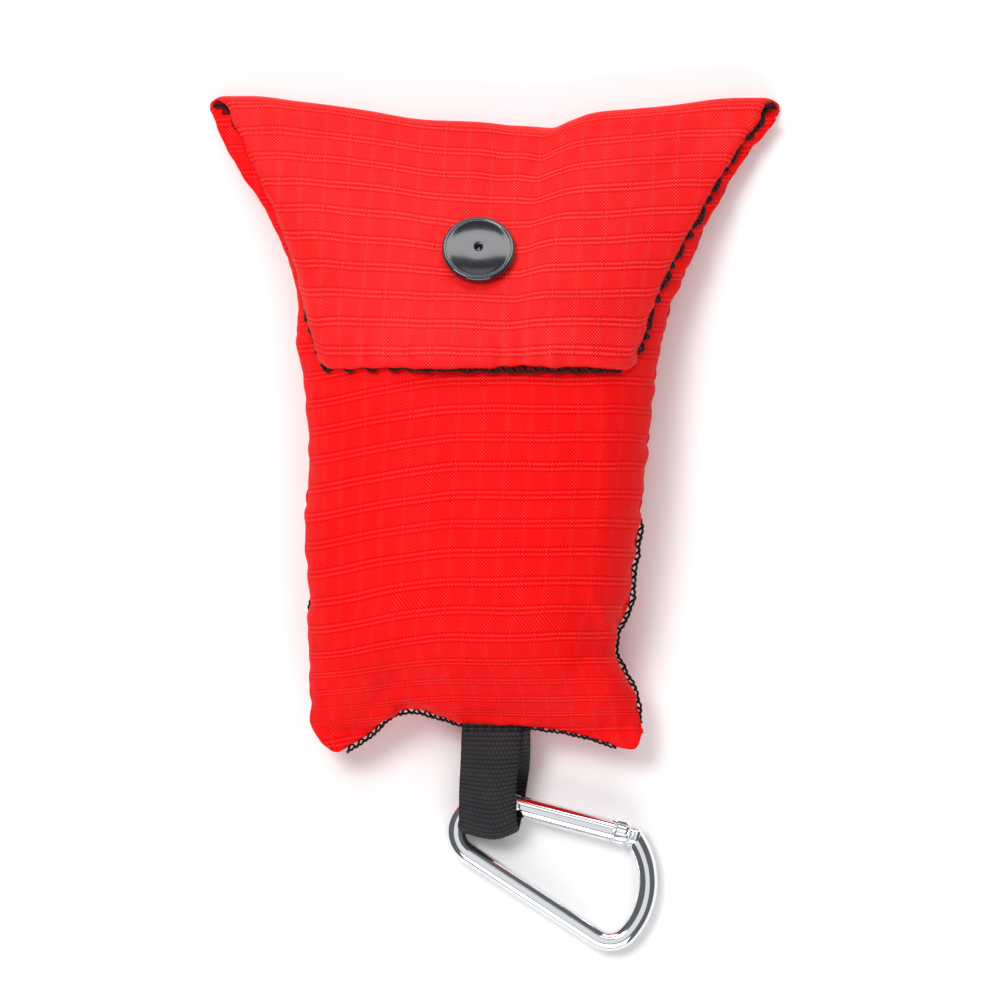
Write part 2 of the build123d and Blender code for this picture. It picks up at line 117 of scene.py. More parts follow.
def mesh_piece(name, points, faces, uvs=None):
    """A new object from points in millimetres; uvs are one per point, in millimetres too."""
    mesh = bpy.data.meshes.new(name)
    mesh.from_pydata([tuple(p * MM) for p in np.asarray(points, float)], [], faces)
    piece = bpy.data.objects.new(name, mesh)
    bpy.context.collection.objects.link(piece)
    if uvs is not None:
        layer = mesh.uv_layers.new(name="cloth")
        corners = np.empty(len(mesh.loops), dtype=np.int32)
        mesh.loops.foreach_get("vertex_index", corners)
        layer.data.foreach_set("uv", np.asarray(uvs, float)[corners].ravel())
    mesh.shade_smooth()
    return piece


def grid_faces(columns, rows, first=0):
    """Quads over a grid of points kept row by row."""
    faces = []
    for row in range(rows - 1):
        for column in range(columns - 1):
            a = first + row * columns + column
            faces.append((a, a + 1, a + columns + 1, a + columns))
    return faces


def shell_faces(columns, rows):
    """Faces of two grids of points, the second behind the first, closed round their rim."""
    count = rows * columns
    faces = grid_faces(columns, rows)
    faces += [tuple(reversed(face)) for face in grid_faces(columns, rows, count)]
    around = (list(range(columns)) + [(r + 1) * columns - 1 for r in range(1, rows)]
              + [(rows - 1) * columns + c for c in reversed(range(columns - 1))]
              + [r * columns for r in reversed(range(1, rows - 1))])
    for a, b in zip(around, around[1:] + around[:1]):
        faces.append((b, a, a + count, b + count))
    return faces


def activate(piece):
    bpy.ops.object.select_all(action="DESELECT")
    piece.select_set(True)
    bpy.context.view_layer.objects.active = piece


def enter_edit(piece):
    """Edit mode with all of the piece selected."""
    activate(piece)
    bpy.ops.object.mode_set(mode="EDIT")
    bpy.ops.mesh.select_all(action="SELECT")


def finish_modifier(piece, kind, **settings):
    """Add one modifier and apply it."""
    activate(piece)
    modifier = piece.modifiers.new(kind, kind)
    for key, value in settings.items():
        setattr(modifier, key, value)
    bpy.ops.object.modifier_apply(modifier=modifier.name)


def smooth_to(piece, sharpest):
    """Shade smooth, but keep edges sharper than this many degrees."""
    activate(piece)
    bpy.ops.object.shade_smooth_by_angle(angle=radians(sharpest))


def path_lengths(points):
    """Length along points from the first, one value for each."""
    steps = np.linalg.norm(np.diff(points, axis=0), axis=-1)
    return np.concatenate([np.zeros((1,) + steps.shape[1:]), np.cumsum(steps, axis=0)])


def row_lengths(grid):
    """Length along each row of a grid from its first column."""
    return path_lengths(grid.swapaxes(0, 1)).swapaxes(0, 1)


def from_sides(grid):
    """Length along each row of a grid from the nearer of its two ends."""
    return np.minimum(row_lengths(grid), row_lengths(grid[:, ::-1])[:, ::-1])


def tube_mesh(path, radius, sides=6, first=0):
    """Points and quads of a thread of one radius along a path, its ends closed."""
    along = unit(np.gradient(path, axis=0))
    side = np.cross(along, (0.0, 0.0, 1.0))
    side = np.where(np.linalg.norm(side, axis=1, keepdims=True) > 0.05, side, (1.0, 0.0, 0.0))
    side = unit(side)
    for i in range(1, len(side)):
        turned = side[i - 1] - along[i] * np.dot(side[i - 1], along[i])
        side[i] = turned / np.linalg.norm(turned)
    up = np.cross(along, side)
    angles = np.arange(sides) * 2 * pi / sides
    rings = (path[:, None] + radius * (np.cos(angles)[None, :, None] * side[:, None]
                                       + np.sin(angles)[None, :, None] * up[:, None]))
    faces = []
    for i in range(len(path) - 1):
        for j in range(sides):
            a, b = first + i * sides + j, first + i * sides + (j + 1) % sides
            faces.append((a, a + sides, b + sides, b))
    last = first + (len(path) - 1) * sides
    faces.append(tuple(first + j for j in range(sides)))
    faces.append(tuple(last + j for j in reversed(range(sides))))
    return rings.reshape(-1, 3), faces


def threads_piece(name, paths, radius, sides=6):
    """One piece made of several threads."""
    points, faces, count = [], [], 0
    for path in paths:
        ring_points, ring_faces = tube_mesh(np.asarray(path, float), radius, sides, count)
        points.append(ring_points)
        faces.extend(ring_faces)
        count += len(ring_points)
    return mesh_piece(name, np.concatenate(points), faces)


# === Materials ===
def colour(hex_value):
    """Linear colour of an sRGB hex value."""
    parts = [int(hex_value[i:i + 2], 16) / 255 for i in (1, 3, 5)]
    linear = [c / 12.92 if c <= 0.04045 else ((c + 0.055) / 1.055) ** 2.4 for c in parts]
    return (*linear, 1.0)


def add_node(tree, kind, *inputs, **settings):
    """Add a node. inputs fill its sockets in order, and settings its own properties or the
    sockets of those names, each with a value, an output, or a node whose first output it is."""
    node = tree.nodes.new("ShaderNode" + kind)
    sockets = list(enumerate(inputs))
    for key, value in settings.items():
        if hasattr(node, key):
            setattr(node, key, value)
        else:
            sockets.append((key, value))
    for key, value in sockets:
        if isinstance(value, bpy.types.Node):
            value = value.outputs[0]
        if isinstance(value, bpy.types.NodeSocket):
            tree.links.new(value, node.inputs[key])
        else:
            node.inputs[key].default_value = value
    return node


def new_material(name, **inputs):
    """A material, its node tree and its Principled shader with constants set."""
    material = bpy.data.materials.new(name)
    material.use_nodes = True
    tree = material.node_tree
    shader = tree.nodes["Principled BSDF"]
    for key, value in inputs.items():
        shader.inputs[key.replace("_", " ")].default_value = value
    return material, tree, shader


def dress(piece, material):
    piece.data.materials.clear()
    piece.data.materials.append(material)


def bend_at_fold(piece):
    """Bake a piece that lies across the fold into world space, on no body."""
    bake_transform(piece)


def place_piece(piece, material, body, slot_name, *nodes):
    """Dress a finished piece, hang it on its body or bake it in place across the fold, and let it
    stand for the CAD nodes it replaces."""
    dress(piece, material)
    if body == "fold":
        bend_at_fold(piece)
    else:
        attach(piece, body)
    if nodes:
        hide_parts(*nodes)
    return piece


def lines_at(add, along, pitch, places, half_width):
    """Fine lines in each pitch (mm) of a coordinate, at these distances either side of where the
    pitch starts: 1 on a line, 0 off it."""
    away = add("Math", along, pitch / 2, operation="PINGPONG")
    total = None
    for place in places:
        gap = add("Math", add("Math", away, place, operation="SUBTRACT"), operation="ABSOLUTE")
        gap = add("Math", gap, half_width, operation="DIVIDE")
        line = add("Math", add("Math", 1.0, gap, operation="SUBTRACT"), 0.0, operation="MAXIMUM")
        total = line if total is None else add("Math", total, line, operation="MAXIMUM")
    return total


def ripstop_material(name, contrast, specular):
    """Ripstop nylon 6.6, woven and coated: tiny light dashes where each yarn comes up, pairs of
    heavier yarns across it with a painted highlight on them and painted shade in the gaps between
    and beside them, and columns along it where the dashes deepen. Noise makes the painted
    highlight on the pairs patchy and clouds the whole."""
    material, tree, shader = new_material(name, Roughness=0.6, IOR=1.53,
                                          Specular_IOR_Level=specular)
    add = partial(add_node, tree)
    cloth = add("SeparateXYZ", add("UVMap", uv_map="cloth"))
    place = add("TexCoord").outputs["Object"]
    slack = add("TexNoise", Vector=place, Scale=60.0, Detail=1.0)
    drift = add("Math", add("Math", slack, 0.5, operation="SUBTRACT"), 1.1, operation="MULTIPLY")
    across = add("Math", cloth.outputs[0], drift, operation="ADD")
    along = add("Math", cloth.outputs[1], drift, operation="ADD")
    # The pairs of heavier yarns get a painted highlight, and the gaps between and beside them get
    # painted shade.
    rows = lines_at(add, along, RIPSTOP_ALONG, (ROW_PAIR,), 0.22)
    row_gap_shade = lines_at(add, along, RIPSTOP_ALONG, (0.0, 2 * ROW_PAIR), 0.2)
    columns = lines_at(add, across, RIPSTOP_ACROSS, (0.0,), 0.9)
    crossings = add("Math", add("Math", rows, row_gap_shade, operation="MAXIMUM"),
                    lines_at(add, across, RIPSTOP_ACROSS, (ROW_PAIR,), 0.24), operation="MULTIPLY")
    waves = [add("Math", add("Math", way, 2 * pi / YARN, operation="MULTIPLY"), operation="SINE")
             for way in (across, along)]
    weave = add("Math", *waves, operation="MULTIPLY")
    deeper = add("Math", columns, 0.5, 0.5, operation="MULTIPLY_ADD")
    # Noise that makes the painted highlight on the pairs patchy.
    patchy_highlight = add("TexNoise", Vector=place, Scale=28.0, Detail=1.0)
    shown = add("Math", patchy_highlight, 0.8, 0.12, operation="MULTIPLY_ADD")
    tone = add("Math", weave, deeper, operation="MULTIPLY")
    # Painted highlight on the pairs, then painted shade in their gaps.
    tone = add("Math", rows, shown, tone, operation="MULTIPLY_ADD")
    tone = add("Math", row_gap_shade, -0.55, tone, operation="MULTIPLY_ADD")
    tone = add("Math", crossings, -0.6, tone, operation="MULTIPLY_ADD")
    cloudy = add("TexNoise", Vector=place, Scale=130.0, Detail=3.0)
    cloudy = add("Math", cloudy, 0.5, operation="SUBTRACT")
    tone = add("Math", cloudy, 0.3, tone, operation="MULTIPLY_ADD")
    ramp = add("ValToRGB", add("Math", tone, 0.5 * contrast, 0.5, operation="MULTIPLY_ADD"))
    low, high = ramp.color_ramp.elements
    low.position, low.color = 0.05, colour(RED_DARK)
    high.position, high.color = 0.92, colour(RED_LIGHT)
    ramp.color_ramp.elements.new(0.5).color = colour(RED)
    tree.links.new(ramp.outputs[0], shader.inputs["Base Color"])
    height = add("Math", rows, 0.8, operation="MULTIPLY")
    height = add("Math", weave, 0.2, height, operation="MULTIPLY_ADD")
    height = add("Math", columns, 0.12, height, operation="MULTIPLY_ADD")
    bump = add("Bump", Strength=0.5, Distance=0.00012, Height=height)
    tree.links.new(bump.outputs[0], shader.inputs["Normal"])
    return material


def plain_material(name, base, roughness, grain=0.0, grain_mm=0.3, uneven=0.5, **inputs):
    """A finish whose gloss varies a little; grain adds a fine surface texture of that size."""
    material, tree, shader = new_material(name, Base_Color=colour(base), **inputs)
    add = partial(add_node, tree)
    place = add("TexCoord").outputs["Object"]
    patches = add("TexNoise", Vector=place, Scale=220.0, Detail=4.0)
    rough = add("Math", patches, roughness * uneven, roughness * (1 - uneven / 2),
                operation="MULTIPLY_ADD")
    tree.links.new(rough.outputs[0], shader.inputs["Roughness"])
    if grain:
        fine = add("TexNoise", Vector=place, Scale=1 / (grain_mm * MM), Detail=2.0)
        bump = add("Bump", Strength=grain, Distance=0.0001, Height=fine)
        tree.links.new(bump.outputs[0], shader.inputs["Normal"])
    return material


def add_rib_shade(material, deep, raised):
    """Paint shade into the grooves between a strap's ribs and a painted sheen on their tops, by
    the height its mesh carries as "rib".
    """
    tree = material.node_tree
    height = add_node(tree, "Attribute", attribute_name="rib")
    ramp = add_node(tree, "ValToRGB", height.outputs["Fac"])
    low, high = ramp.color_ramp.elements
    low.position, low.color, high.color = 0.2, colour(deep), colour(raised)
    tree.links.new(ramp.outputs[0], tree.nodes["Principled BSDF"].inputs["Base Color"])


# The colour ramp runs from RED_DARK, reached in the painted shade beside the heavier yarns, to
# RED_LIGHT, reached in their painted highlight; the weave and clouding move between them too.
RED, RED_LIGHT, RED_DARK = "#f4060a", "#ff4f4a", "#cc0006"
# Lit and shaded copies of one cloth: the flap faces up and shows its weave, with the painted
# highlight and shade of its pattern at full strength and a higher specular level; the body's copy
# is plainer and deeper.
RIPSTOP = ripstop_material("ripstop_nylon_red", 0.6, 0.04)
RIPSTOP_FLAP_LIT = ripstop_material("ripstop_nylon_red_flap_lit", 1.0, 0.14)
# Spun polyester: matt and a little furry, so it reads as a soft black.
THREAD = plain_material("spun_polyester_thread_black", "#121115", 0.75, grain=0.5, grain_mm=0.15,
                        Specular_IOR_Level=0.3)
# Nylon webbing: charcoal black, each rib of yarn with a faint painted sheen along it and painted
# shade in the grooves between.
WEBBING = plain_material("nylon_webbing_black", "#101013", 0.6, grain=0.4, grain_mm=0.16, IOR=1.53,
                         Specular_IOR_Level=0.3)
add_rib_shade(WEBBING, "#020203", "#2b2b30")
# Moulded acetal: near black with a blue cast and a hard gloss that mirrors the lamps.
SNAP_PLASTIC = plain_material("moulded_acetal_black", "#1c1e28", 0.17, uneven=0.3, IOR=1.48,
                              Coat_Weight=0.8, Coat_Roughness=0.1)
# Polished aluminium: mirror-like, with drawing marks too fine to see but for a slight blur.
METAL = plain_material("polished_aluminium", "#eceef0", 0.07, Metallic=1.0)
# Turned steel: greyer than the aluminium, its highlights spread by fine turning marks.
STEEL = plain_material("turned_steel", "#9a9ca0", 0.25, Metallic=1.0)
# Wrapper paper: matt and off-white.
PAPER = plain_material("wrapper_paper", "#e8e6e0", 0.6, grain=0.3)
# Dipped nitrile: a soft blue with a dull gloss.
NITRILE = plain_material("dipped_nitrile_blue", "#3c5f9e", 0.4, grain=0.3)
# Folded polythene film: many layers, so milky rather than clear, with a sharp gloss.
FILM = plain_material("folded_polythene_film", "#dfe7ec", 0.18)
# Foil laminated to paper: a broken, satiny mirror.
FOIL = plain_material("laminated_foil", "#c9cbcf", 0.3, grain=0.2, Metallic=0.8)
# Moulded polypropylene: white with a waxy gloss.
VALVE_PLASTIC = plain_material("moulded_polypropylene_white", "#eef0f2", 0.35)

# === Shape of the pouch, in millimetres ===
left_edge = smooth_curve([
    (-50, -30), (-46, -30.4), (-38, -30.2), (-28, -30.6), (-24, -30.2), (-12, -31), (2, -30.5),
    (14, -31), (20, -32.2), (29, -32.4), (37, -35), (45, -39.2), (52.6, -44), (60, -47.4)])
right_edge = smooth_curve([
    (-50, 27.2), (-45.7, 27.1), (-40.5, 26), (-36, 23.4), (-33, 21.8), (-29.5, 22.2), (-25, 24.3),
    (-17, 25.7), (-7, 27.2), (3.4, 28.3), (14, 29.4), (24, 31.4), (32, 34), (37, 36.6), (45, 40.6),
    (52.6, 45.3), (60, 50.6)])
# The bottom seam, by its share of the way from the middle to either side.
bottom_edge = smooth_curve([
    (-1, -45.2), (-0.985, -46.4), (-0.955, -48.1), (-0.906, -49.8), (-0.85, -50.6), (-0.77, -49.5),
    (-0.633, -47.2), (-0.535, -44.6), (-0.472, -43.4), (-0.388, -43.1), (-0.308, -43.4),
    (-0.203, -44.5), (-0.084, -45.7), (0.10, -46), (0.315, -46.2), (0.507, -46.9), (0.654, -47.8),
    (0.787, -49), (0.88, -49.9), (0.94, -50.1), (0.98, -49.2), (1, -47.2)])
fold_edge = smooth_curve([
    (-48, 63.3), (-40, 63.4), (-33, 62.6), (-20, 60.7), (-12, 59.3), (0, 58.5), (8, 58.1),
    (11.2, 58), (14.6, 59.2), (18, 60.4), (25, 61.1), (32, 61.8), (40, 62.8), (50, 63)])
seam_height = smooth_curve([
    (-50, 8.6), (-20, 8.6), (16, 8), (34, 6.6), (46, 5), (57, 3.2), (60, 3)])
crown_height = smooth_curve([
    (-47, 12), (-44, 17), (-40, 21), (-35, 24.4), (-28, 26.4), (-20, 27.2), (-8, 27.8), (2, 27.6),
    (16, 25.5), (27, 21.6), (34, 18), (46, 11.6), (52, 8.8), (57, 6.6)])
# How far each side seam is drawn in under the cloth beside it; below 0 it stands out.
tuck_left = smooth_curve([
    (-48, 1.4), (-30, 1.7), (-27, 0.5), (-24.5, 0.4), (-21, 1.7), (30, 1.6), (60, 1.6)])
tuck_right = smooth_curve([
    (-48, 0.9), (-44, 0.6), (-41, 0), (-12, -0.1), (-7, 1.6), (30, 1.6), (60, 1.6)])
GRAIN_DIP = 4.2
FRONT_SET_BACK, BACK_SET_BACK = 3.4, 2.3     # the mouth sits this far inside the fold
WIDEST = radians(78)                         # where round the section the cloth is widest
seam_wander = gentle_noise(7, 3.5, 11.0)
puckers = gentle_noise(9, 3.2, 7.5)
slackness = gentle_noise(8, 16.0, 42.0)

# Creases in the front: from, to (x, y), half width and height; below 0 is a fold inwards.
CREASES = (
    ((-21, -46.5), (-13, -39.6), 1.2, 0.7),
    ((-14.5, -39.6), (-6, -44), 1.2, 0.6),
    ((-20, -42), (-14, -36.6), 1.8, -0.5),
    ((-14, -36.6), (-5, -41), 1.8, -0.5),
    ((18.2, -22.5), (23.4, -34.5), 1.3, 0.8),
    ((20, -30), (13, -41), 2.2, -0.5),
    ((24, -36.5), (16.5, -45.5), 1.8, 0.55),
    ((-23.4, -38), (-23, 12), 1.9, 0.35),
    ((20.2, -20), (20.6, 13), 1.9, 0.35),
    ((-29, -8), (-24, -12), 1.1, -0.35),
    ((-29, -20), (-24.5, -16.5), 1.2, -0.35),
    ((-29.5, -33), (-23.5, -30), 1.2, -0.4),
    ((-28, 3), (-24, 0), 1.2, -0.3),
    ((26, -14), (21.5, -11.5), 1.1, -0.3),
    ((-12, -20), (4, -25), 3.2, 0.25),
    ((-2, 3), (14, -1), 3.4, 0.22),
)
# Slack in the flap: fans from the snap and sags along the fold.
FLAP_CREASES = (
    ((4, 57), (1, 44), 2.6, -0.55),
    ((11.5, 57), (8, 48), 1.8, -0.5),
    ((-9, 41), (-34, 54), 3.2, 0.35),
    ((7, 41), (34, 55), 3.2, 0.35),
    ((-8, 31), (-24, 22), 3, 0.3),
    ((6, 31), (22, 21), 3, 0.3),
    ((-24, 46), (-38, 58.5), 2.2, -0.4),
    ((27, 47), (41, 58.5), 2.2, -0.4),
)


def crease_heights(x, y, creases):
    """Height of the creases over the cloth at x, y."""
    total = np.zeros_like(x)
    for (ax, ay), (bx, by), width, height in creases:
        run = (bx - ax) ** 2 + (by - ay) ** 2
        t = np.clip(((x - ax) * (bx - ax) + (y - ay) * (by - ay)) / run, 0, 1)
        away = (x - ax - t * (bx - ax)) ** 2 + (y - ay - t * (by - ay)) ** 2
        total += height * np.exp(-away / width**2) * np.sin(pi * (0.12 + 0.76 * t))
    return total


def roundness(y):
    """Power of the section: 2 is an ellipse, more is squarer."""
    return 2.0 + 0.5 * ease(y, 30, 5)


def across_y(y):
    """Middle and half width of the pouch at y."""
    left, right = left_edge(y), right_edge(y)
    return (left + right) / 2, (right - left) / 2


def front_height(x, y):
    """Height of the outside of the front panel over the table."""
    middle, half = across_y(y)
    u = np.clip(np.abs((x - middle) / half), 0, 1)
    turn = WIDEST * np.arcsin(u ** (roundness(y) / 2)) / (pi / 2)
    return seam_height(y) + (crown_height(y) - seam_height(y)) * np.cos(turn) ** 1.05


def across_share(y, turn, front):
    """Share of the half width reached at a turn round the section."""
    round_turn = np.minimum(np.abs(turn) / WIDEST, 1.0) * pi / 2
    return np.sign(turn) * np.sin(round_turn) ** (2 / roundness(y) if front else 0.55)


def section(y, turn, front):
    """Across-position and height at a turn round the section, -90 to 90 degrees from the crown
    (or from the middle of the back), for arrays of one shape."""
    middle, half = across_y(y)
    tucked = ease(np.abs(turn), WIDEST, pi / 2)
    tuck = np.where(turn < 0, tuck_left(y), tuck_right(y)) + 0.22 * seam_wander(y, 0 * y + turn)
    height = np.cos(np.clip(turn, -pi / 2, pi / 2))
    if front:
        z = seam_height(y) + (crown_height(y) - seam_height(y)) * height**1.05
    else:
        z = seam_height(y) * (1 - np.clip(height, 0, 1) ** 0.55)
    x = middle + half * across_share(y, turn, front) - np.sign(turn) * tuck * tucked
    return x, z


def grid_normals(grid):
    """Outward direction at each point of a grid whose columns run to +X and rows to +Y."""
    return unit(np.cross(np.gradient(grid, axis=1), np.gradient(grid, axis=0)))


def panel_grid(front):
    """Points of one panel, from the bottom seam up to the mouth."""
    columns, rows = PANEL_COLUMNS, PANEL_ROWS
    turn = np.linspace(-pi / 2, pi / 2, columns)
    turn = turn - 0.18 * np.sin(2 * turn)
    middle_u = np.sin(turn)
    set_back = FRONT_SET_BACK if front else BACK_SET_BACK
    grid = np.zeros((rows, columns, 3))
    share = np.linspace(0, 1, rows)
    share = 0.45 * share + 0.55 * (1 - np.cos(share * pi / 2))
    low = bottom_edge(across_share(-46.0, turn, front))
    high = fold_edge(middle_u * 48.0) - set_back
    for i, s in enumerate(share):
        y = low + (high - low) * s
        x, z = section(y, turn, front)
        close = np.clip((y - low) / 16.0, 0, 1)
        close = np.sqrt(1 - (1 - close) ** 2)
        seam = seam_height(y)
        grid[i] = np.stack([x, y, seam + (z - seam) * close], axis=-1)
    return grid


def wrinkle(grid, front):
    """Push the points of a panel along its normals into puckers, creases and slack."""
    x, y, z = grid[..., 0], grid[..., 1], grid[..., 2]
    from_bottom = path_lengths(grid)
    from_seam = np.minimum(from_sides(grid), from_bottom)
    fixed = ease(from_seam, 0.0, 2.2)
    near = np.exp(-np.maximum(from_seam - 1.5, 0) / 5.5)
    out = (0.3 + 0.12 * ease(x, 0, 20)) * puckers(x * 0.35, y + 0.4 * z) * near
    out += 0.3 * puckers(x, y * 0.3) * np.exp(-np.maximum(from_bottom - 1.5, 0) / 6.0)
    out += 0.16 * slackness(x, y + z) * (1.0 if front else 0.5)
    if front:
        out += crease_heights(x, y, CREASES) * ease(from_seam, 0.0, 3.0)
    if not front:
        out *= ease(z, 0.3, 4.0)
    direction = grid_normals(grid) * (1 if front else -1)
    return grid + direction * (out * fixed)[..., None]


def cloth_uv(grid, straight=False):
    """Cloth coordinates in millimetres. The yarns run straight across the piece, unless the
    cloth turns too sharply for that and they keep to its rows."""
    along = path_lengths(grid)
    middle = along[:, along.shape[1] // 2]
    if straight:
        y, y_middle = grid[..., 1], grid[:, grid.shape[1] // 2, 1]
        along = np.interp(y, y_middle, middle) + y - np.clip(y, y_middle[0], y_middle[-1])
    else:
        along = middle[:, None] + np.zeros(grid.shape[1])[None, :]
    across = row_lengths(grid)
    across = across - across[:, grid.shape[1] // 2][:, None]
    return np.stack([across, along], axis=-1)


def make_panel(name, front, node):
    grid = wrinkle(panel_grid(front), front)
    faces = grid_faces(PANEL_COLUMNS, PANEL_ROWS)
    if not front:
        faces = [tuple(reversed(face)) for face in faces]
    uv = cloth_uv(grid, straight=True)
    if front:      # the cloth was cut a little off its grain, so its yarns dip to the left
        uv[..., 1] += GRAIN_DIP * (1 - ease(grid[..., 0], -36.0, -4.0))
    piece = mesh_piece(name, grid.reshape(-1, 3), faces, uv.reshape(-1, 2))
    finish_modifier(piece, "SOLIDIFY", thickness=CLOTH_T * MM, offset=-1)
    place_piece(piece, RIPSTOP, "pouch", "ripstop", node)
    return grid


# === Flap and fold ===
FLAP_END_Y = 17.2        # the hem turns under here
HEM_R, HEM_BAND = 1.4, 3.4
flap_left = smooth_curve([
    (15, -27.4), (17.7, -28.6), (20, -29.3), (24, -30.7), (31.6, -32.4), (37.2, -34.2),
    (44.4, -36.9), (52.3, -40.9), (59.3, -44.2), (62, -45.6)])
flap_right = smooth_curve([
    (15, 24.9), (16.7, 25.6), (19.7, 26.9), (22.6, 27.9), (30.5, 30.6), (41.8, 36.8), (52.3, 42.8),
    (58, 46.6), (61.6, 50)])
# Each end of the fold curls: share of the way round it, and how far its cloth moves outwards.
TIP_CURL = ((0, 0.08, 0.17, 0.3, 0.5, 0.8, 1), (-1.1, -0.2, 0.2, 0.1, -0.6, -0.3, 0))
EDGE_LIFT, EDGE_ROLL = 1.5, 0.9      # the flap's sides stand off, with their edges rolled under
SNAP_X, SNAP_Y = np.mean(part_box("snap_cap"), axis=0)[:2] / MM
flap_lift = smooth_curve([
    (15, 3.4), (20, 3.4), (27, 3.7), (34, 4.1), (46, 3.9), (52, 2.6), (57, 1.5)])


def flap_height(x, y):
    """Height of the outside of the flap."""
    left, right = flap_left(y), flap_right(y)
    u = np.clip((x - (left + right) / 2) / ((right - left) / 2), -1, 1)
    from_side = (1 - np.abs(u)) * (right - left) / 2
    roll = EDGE_ROLL * (1 - np.sqrt(1 - np.clip(1 - from_side / 1.3, 0, 1) ** 2))
    return front_height(x, y) + EDGE_LIFT - roll + (flap_lift(y) - EDGE_LIFT) * (1 - u**2) ** 0.8


def flap_grid():
    """Points of the fold, the flap and its hem, from the back panel round to the hem's end, and
    the index of the first row of the hem's turn."""
    arc_rows, hem_rows = 30, 20
    flat_rows = FLAP_ROWS - arc_rows - hem_rows
    s = np.linspace(-1, 1, FLAP_COLUMNS)
    s = 0.9 * s + 0.1 * np.sin(s * pi / 2)
    rows = []
    outer = fold_edge(1.5 + s * 48.5) - 0.6 * np.clip((np.abs(s) - 0.96) / 0.04, 0, 1) ** 2
    reach = 2.6 + 0.5 * np.abs(s)                    # how far the roll stands out
    centre_y = outer - reach
    top_left, top_right = flap_left(centre_y), flap_right(centre_y)
    top_x = (top_left + top_right) / 2 + s * (top_right - top_left) / 2
    back_x = 1.7 + s * 49.5
    half_z = (flap_height(top_x, centre_y)) / 2
    tip = np.sign(s) * np.clip((np.abs(s) - 0.95) / 0.05, 0, 1) ** 2
    for angle in np.linspace(-pi / 2, pi / 2, arc_rows, endpoint=False):
        share = (angle + pi / 2) / pi
        x = back_x + (top_x - back_x) * ease(share, 0.35, 1.0)
        x = x + tip * np.interp(share, *TIP_CURL)
        y, z = centre_y + reach * cos(angle), half_z * (1 + sin(angle))
        rows.append(np.stack([x, y, z], axis=-1))
    corner = 1.2 * np.clip((np.abs(s) - 0.93) / 0.07, 0, 1) ** 2
    end_y = FLAP_END_Y + corner
    for share in np.linspace(0, 1, flat_rows):
        y = centre_y + (end_y - centre_y) * share
        left, right = flap_left(y), flap_right(y)
        x = (left + right) / 2 + s * (right - left) / 2
        z = flap_height(x, y)
        z = z + 0.2 * ease(end_y + HEM_BAND + 0.4 - y, 0.0, 0.8)
        rows.append(np.stack([x, y, z], axis=-1))
    last, before = rows[-1], rows[-2]
    run, rise = (last - before)[:, 1:].T
    lean = np.arcsin(np.clip(rise / np.hypot(run, rise), -1, 1))
    for angle in np.linspace(0, radians(170), hem_rows + 1)[1:]:
        out = HEM_R * np.sin(angle)
        down = HEM_R * (1 - cos(angle))
        y = last[:, 1] - out * np.cos(lean) - down * np.sin(lean) * 0.6
        z = last[:, 2] + out * np.sin(lean) - down * np.cos(lean)
        rows.append(np.stack([last[:, 0], y, z], axis=-1))
    grid = np.array(rows)
    from_edge = from_sides(grid)
    x, y, z = grid[..., 0], grid[..., 1], grid[..., 2]
    top = ease(z, 2.0, 6.0)
    out = 0.22 * slackness(x + 9, y + z) + 0.14 * puckers(x * 0.5, y) * np.exp(-from_edge / 5.0)
    out += 0.16 * puckers(x, y * 0.3 + 40) * ease(y, 24.0, 18.0)
    out += crease_heights(x, y, FLAP_CREASES)
    snap_gap = np.hypot(x - SNAP_X, (y - SNAP_Y) * 1.15)
    out *= top * ease(snap_gap, 4.5, 9.0)
    out -= 0.5 * np.exp(-((snap_gap - 6.5) / 2.4) ** 2) * top
    return grid + grid_normals(grid[::-1])[::-1] * out[..., None], arc_rows + flat_rows


def make_flap():
    grid, hem_start = flap_grid()
    piece = mesh_piece("flap_cloth", grid.reshape(-1, 3), grid_faces(FLAP_COLUMNS, len(grid)),
                       cloth_uv(grid).reshape(-1, 2))
    finish_modifier(piece, "SOLIDIFY", thickness=CLOTH_T * MM, offset=1)
    # The flap wears the lit copy of the cloth, with its pattern's painted highlight and shade at
    # full strength.
    place_piece(piece, RIPSTOP_FLAP_LIT, "fold", "ripstop", "flap", "fold_strip")
    return grid, hem_start


front_grid = make_panel("pouch_front", True, "front_panel")
make_panel("pouch_back", False, "back_panel")
flap_points, HEM_START = make_flap()


# === Overlocked thread along the raw edges ===
SEAM_PITCH, HEM_PITCH, SIDE_PITCH, EAR_PITCH = 2.1, 1.9, 1.7, 1.6    # from loop to loop
LOOP_POINTS, LOOP_HEIGHT = 8, 0.42
THIN, THICK = 0.22, 0.24                     # radius of the thread


def resample(points, spacing):
    """Points at an even spacing along a line."""
    lengths = path_lengths(points)
    count = max(2, int(lengths[-1] / spacing))
    at = np.linspace(0, lengths[-1], count)
    return np.stack([np.interp(at, lengths, points[:, i]) for i in range(3)], axis=-1)


def between(points, axis, low, high):
    """The part of a line whose coordinate lies between two values."""
    kept = (points[:, axis] >= low) & (points[:, axis] <= high)
    return points[kept]


